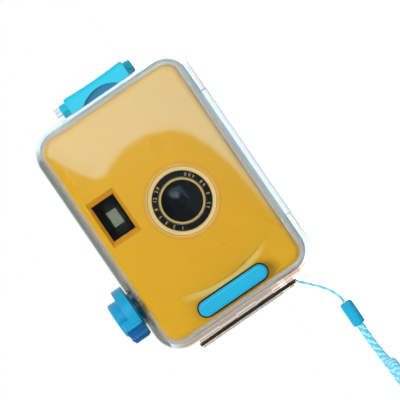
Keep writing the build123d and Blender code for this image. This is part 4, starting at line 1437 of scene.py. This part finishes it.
@dataclass
class LensMarks:
    """The plain numbers and thin lines on the ring round the lens."""

    front: float = -0.0179
    radius: float = 0.0125
    text_height: float = 0.00215
    relief: float = 0.00004
    line_steps: int = 128
    line_radii: tuple[Pair, Pair] = ((0.01400, 0.01415), (0.01090, 0.01105))
    upper: tuple[tuple[str, float], ...] = (
        ("1", 147),
        ("2", 129),
        ("3", 111),
        ("5", 93),
        ("8", 75),
        ("1", 58),
        ("2", 51.5),
        ("2", 37),
        ("0", 29),
    )
    lower: tuple[tuple[str, float], ...] = (
        ("3", 222),
        ("5", 231),
        ("0", 252),
        ("6", 272),
        ("8", 281),
        ("4", 301),
        ("0", 310),
        ("0", 319),
    )

    def spot(self, radius: float, angle: float) -> Vector:
        """A place on the ring's print.

        Args:
            radius: How far it is from the lens's middle.
            angle: Where it is round the lens, in radians.

        Returns:
            The place.
        """
        return Vector(
            (
                LENS_AXIS[0] + radius * math.cos(angle),
                self.front - self.relief,
                LENS_AXIS[1] + radius * math.sin(angle),
            )
        )

    def digit(self, sign: str, angle: float, outward: bool) -> bpy.types.Object:
        """Sets one printed number on the ring.

        Args:
            sign: The number's sign.
            angle: Its place, in degrees from the right, anticlockwise.
            outward: True if its top points away from the lens.

        Returns:
            The mesh object.
        """
        data = bpy.data.curves.new("mark", "FONT")
        data.body = sign
        data.size = self.text_height
        data.align_x = "CENTER"
        data.align_y = "CENTER"
        data.extrude = self.relief
        text = place_data("mark", data)
        mesh = bpy.data.meshes.new_from_object(text)
        bpy.data.objects.remove(text)
        bpy.data.curves.remove(data)
        turn = math.radians(angle - 90 if outward else angle + 90)
        place = Matrix.Translation(self.spot(self.radius, math.radians(angle)))
        facing = Matrix.Rotation(math.pi / 2, 4, "X")
        mesh.transform(place @ Matrix.Rotation(-turn, 4, "Y") @ facing)
        return place_data("mark", mesh)

    def line(self, inner: float, outer: float) -> bpy.types.Object:
        """A thin printed circle.

        Args:
            inner: Its inner radius.
            outer: Its outer radius.

        Returns:
            The mesh object.
        """
        mesh = bmesh.new()
        rings = []
        for radius in (inner, outer):
            spots = (self.spot(radius, angle) for angle in even_turn(self.line_steps))
            rings.append([mesh.verts.new(spot) for spot in spots])
        stitch(mesh, rings, closed=True)
        bmesh.ops.recalc_face_normals(mesh, faces=mesh.faces)
        return place_mesh("ring_line", mesh)

    def build(self, gold: bpy.types.Material) -> None:
        """Prints the numbers and lines and puts them on the housing's body.

        Args:
            gold: The finish of the print.
        """
        pieces = [self.digit(sign, angle, True) for sign, angle in self.upper]
        pieces += [self.digit(sign, angle, False) for sign, angle in self.lower]
        pieces += [self.line(inner, outer) for inner, outer in self.line_radii]
        joined = bmesh.new()
        for piece in pieces:
            joined.from_mesh(piece.data)
            bpy.data.objects.remove(piece)
        marks = place_mesh("lens_ring_numbers", joined)
        marks.data.materials.append(gold)
        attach(marks, "housing")
        log.info("lens ring numbers printed")


@dataclass(frozen=True)
class Lamp:
    """One square soft lamp. Glossy and clear surfaces show it only if it is mirrored."""

    name: str
    place: Triple
    size: float
    watts: float
    mirrored: bool = False
    colour: Triple = (1.0, 1.0, 1.0)
    target: Triple = (0.0, 0.0, 0.04)

    def hang(self) -> None:
        """Puts the lamp into the scene."""
        data = bpy.data.lights.new(self.name, "AREA")
        data.shape = "SQUARE"
        data.size = self.size
        data.energy = self.watts
        data.color = self.colour
        lamp = place_data(self.name, data)
        lamp.location = self.place
        lamp.visible_glossy = self.mirrored
        lamp.visible_transmission = self.mirrored
        aim = Vector(self.target) - Vector(self.place)
        lamp.rotation_euler = aim.to_track_quat("-Z", "Y").to_euler()


@dataclass
class GlowCard:
    """The card that the front window mirrors as its pale zone.

    Its outline is given on the window, by X and Z, and carried out to the card.
    """

    distance: float = 0.15
    soft: float = 0.003
    fade: float = 0.012
    along: Pair = (-0.07, 0.0715)
    up: Pair = (-0.01, 0.096)
    cells: int = 90
    front_plane: float = -0.022
    edge: tuple[Pair, ...] = (
        (0.0600, 0.0840),
        (0.0450, 0.0760),
        (0.0350, 0.0710),
        (0.0285, 0.0660),
        (0.0275, 0.0610),
        (0.0300, 0.0560),
        (0.0325, 0.0480),
        (0.0325, 0.0360),
        (0.0280, 0.0250),
        (0.0215, 0.0185),
        (0.0110, 0.0138),
        (-0.0030, 0.0103),
        (-0.0200, 0.0085),
        (-0.0350, 0.0073),
        (-0.0600, 0.0050),
    )
    far_corners: tuple[Pair, ...] = ((-0.06, -0.02), (0.2, -0.02), (0.2, 0.084))

    def inside(self, along: float, up: float) -> float:
        """How far a spot on the window lies inside the pale zone.

        Args:
            along: The spot's X.
            up: The spot's Z.

        Returns:
            The distance to the zone's edge, negative outside it.
        """
        nearest = 1.0
        within = False
        corners = [*self.edge, *self.far_corners]
        for number, (x0, z0) in enumerate(corners):
            x1, z1 = corners[(number + 1) % len(corners)]
            run = Vector((x1 - x0, z1 - z0))
            share = Vector((along - x0, up - z0)).dot(run) / run.length_squared
            share = max(0.0, min(1.0, share))
            gap = math.hypot(along - x0 - run.x * share, up - z0 - run.y * share)
            nearest = min(nearest, gap)
            if (z0 > up) != (z1 > up) and along < x0 + (up - z0) * (x1 - x0) / (z1 - z0):
                within = not within
        return nearest if within else -nearest

    def glow(self, along: float, up: float) -> float:
        """How brightly the card shows at a spot on the window, from 0 to 1."""
        margin = min(self.along[1] - along, up - self.up[0], self.up[1] - up)
        return smooth(0.5 + self.inside(along, up) / self.soft) * smooth(margin / self.fade)

    def build(self) -> None:
        """Sets up the card, which only glossy surfaces show."""
        scale = 1 + self.distance / (self.front_plane - EYE[1])
        mesh = bmesh.new()
        layer = mesh.verts.layers.float.new(CardGlow.layer)
        rows = []
        for row in range(self.cells + 1):
            line = []
            up = self.up[0] + (self.up[1] - self.up[0]) * row / self.cells
            for column in range(self.cells + 1):
                along = self.along[0] + (self.along[1] - self.along[0]) * column / self.cells
                east = EYE[0] + (along - EYE[0]) * scale
                high = EYE[2] + (up - EYE[2]) * scale
                corner = mesh.verts.new((east, self.front_plane - self.distance, high))
                corner[layer] = self.glow(along, up)
                line.append(corner)
            rows.append(line)
        stitch(mesh, rows)
        card = place_mesh("glow_card", mesh)
        card.data.materials.append(CardGlow().build())
        card.visible_camera = False
        card.visible_diffuse = False
        card.visible_transmission = False
        card.visible_shadow = False


@dataclass
class Studio:
    """The white floor, the lamps and the sky."""

    floor_radius: float = 1.6
    floor_sides: int = 96
    floor_drop: float = 0.0002
    sky_turn: Pair = (-0.55, 0.5)
    sky_lean: float = 0.35
    sky_strength: float = 0.45
    sky_front: float = 0.05
    sky_back: float = 0.95
    lamps: tuple[Lamp, ...] = (
        Lamp("key", (0.22, -1.25, 1.0), size=0.5, watts=15),
        Lamp("fill", (0.4, -1.25, 0.6), size=0.9, watts=7),
        Lamp(
            "glint",
            (0.3, -1.2, 0.1),
            size=0.22,
            watts=0.25,
            mirrored=True,
            colour=(1.0, 0.78, 0.74),
        ),
        Lamp("side", (-1.2, -0.25, 0.6), size=0.8, watts=4),
        Lamp("top", (0.0, 0.4, 1.3), size=1.0, watts=6),
    )

    def floor(self) -> None:
        """A wide pale disc under the object."""
        disc = bmesh.new()
        bmesh.ops.create_circle(
            disc, cap_ends=True, segments=self.floor_sides, radius=self.floor_radius
        )
        floor = place_mesh("floor", disc)
        floor.data.materials.append(PaleFloor().build())
        floor.location.z = -self.floor_drop

    def sky(self) -> None:
        """White where it is seen, a room that darkens to the front where mirrored."""
        world = bpy.data.worlds.new("white_room")
        bpy.context.scene.world = world
        room = Nodes(world)
        axes = room.node("SeparateXYZ", in0=room.node("TexCoord").outputs["Generated"])
        graded = room.node(
            "MapRange",
            {"interpolation_type": "SMOOTHSTEP"},
            Value=room.value(axes, "Y") + room.value(axes, "X") * self.sky_lean,
            From_Min=self.sky_turn[0],
            From_Max=self.sky_turn[1],
            To_Min=self.sky_front,
            To_Max=self.sky_back,
        )
        seen, mirrored = room.seen(), room.mirrored()
        dim = mirrored * room.value(graded) + (1 - mirrored) * self.sky_strength
        light = room.node("Background", Color=(1, 1, 1, 1), Strength=seen + (1 - seen) * dim)
        room.node("OutputWorld", Surface=light.outputs[0])

    def build(self) -> None:
        """Sets the stage and the light."""
        self.floor()
        self.sky()
        GlowCard().build()
        for lamp in self.lamps:
            lamp.hang()
        bpy.context.scene.view_settings.view_transform = "Standard"
        log.info("studio lit")


def main() -> None:
    logging.basicConfig(level=logging.INFO, format="%(message)s")
    FRAME.update(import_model())
    wardrobe = Wardrobe()
    Photographer().build()
    WristStrap().build(wardrobe.get(Look.FIBRE))
    for look, nodes in NODES_BY_LOOK.items():
        wardrobe.dress(look, nodes)
    FoamPad().build(wardrobe.get(Look.FOAM))
    TriggerSprings().build(wardrobe.get(Look.STEEL))
    LensMarks().build(wardrobe.get(Look.PRINT))
    Studio().build()


if __name__ == "__main__":
    main()
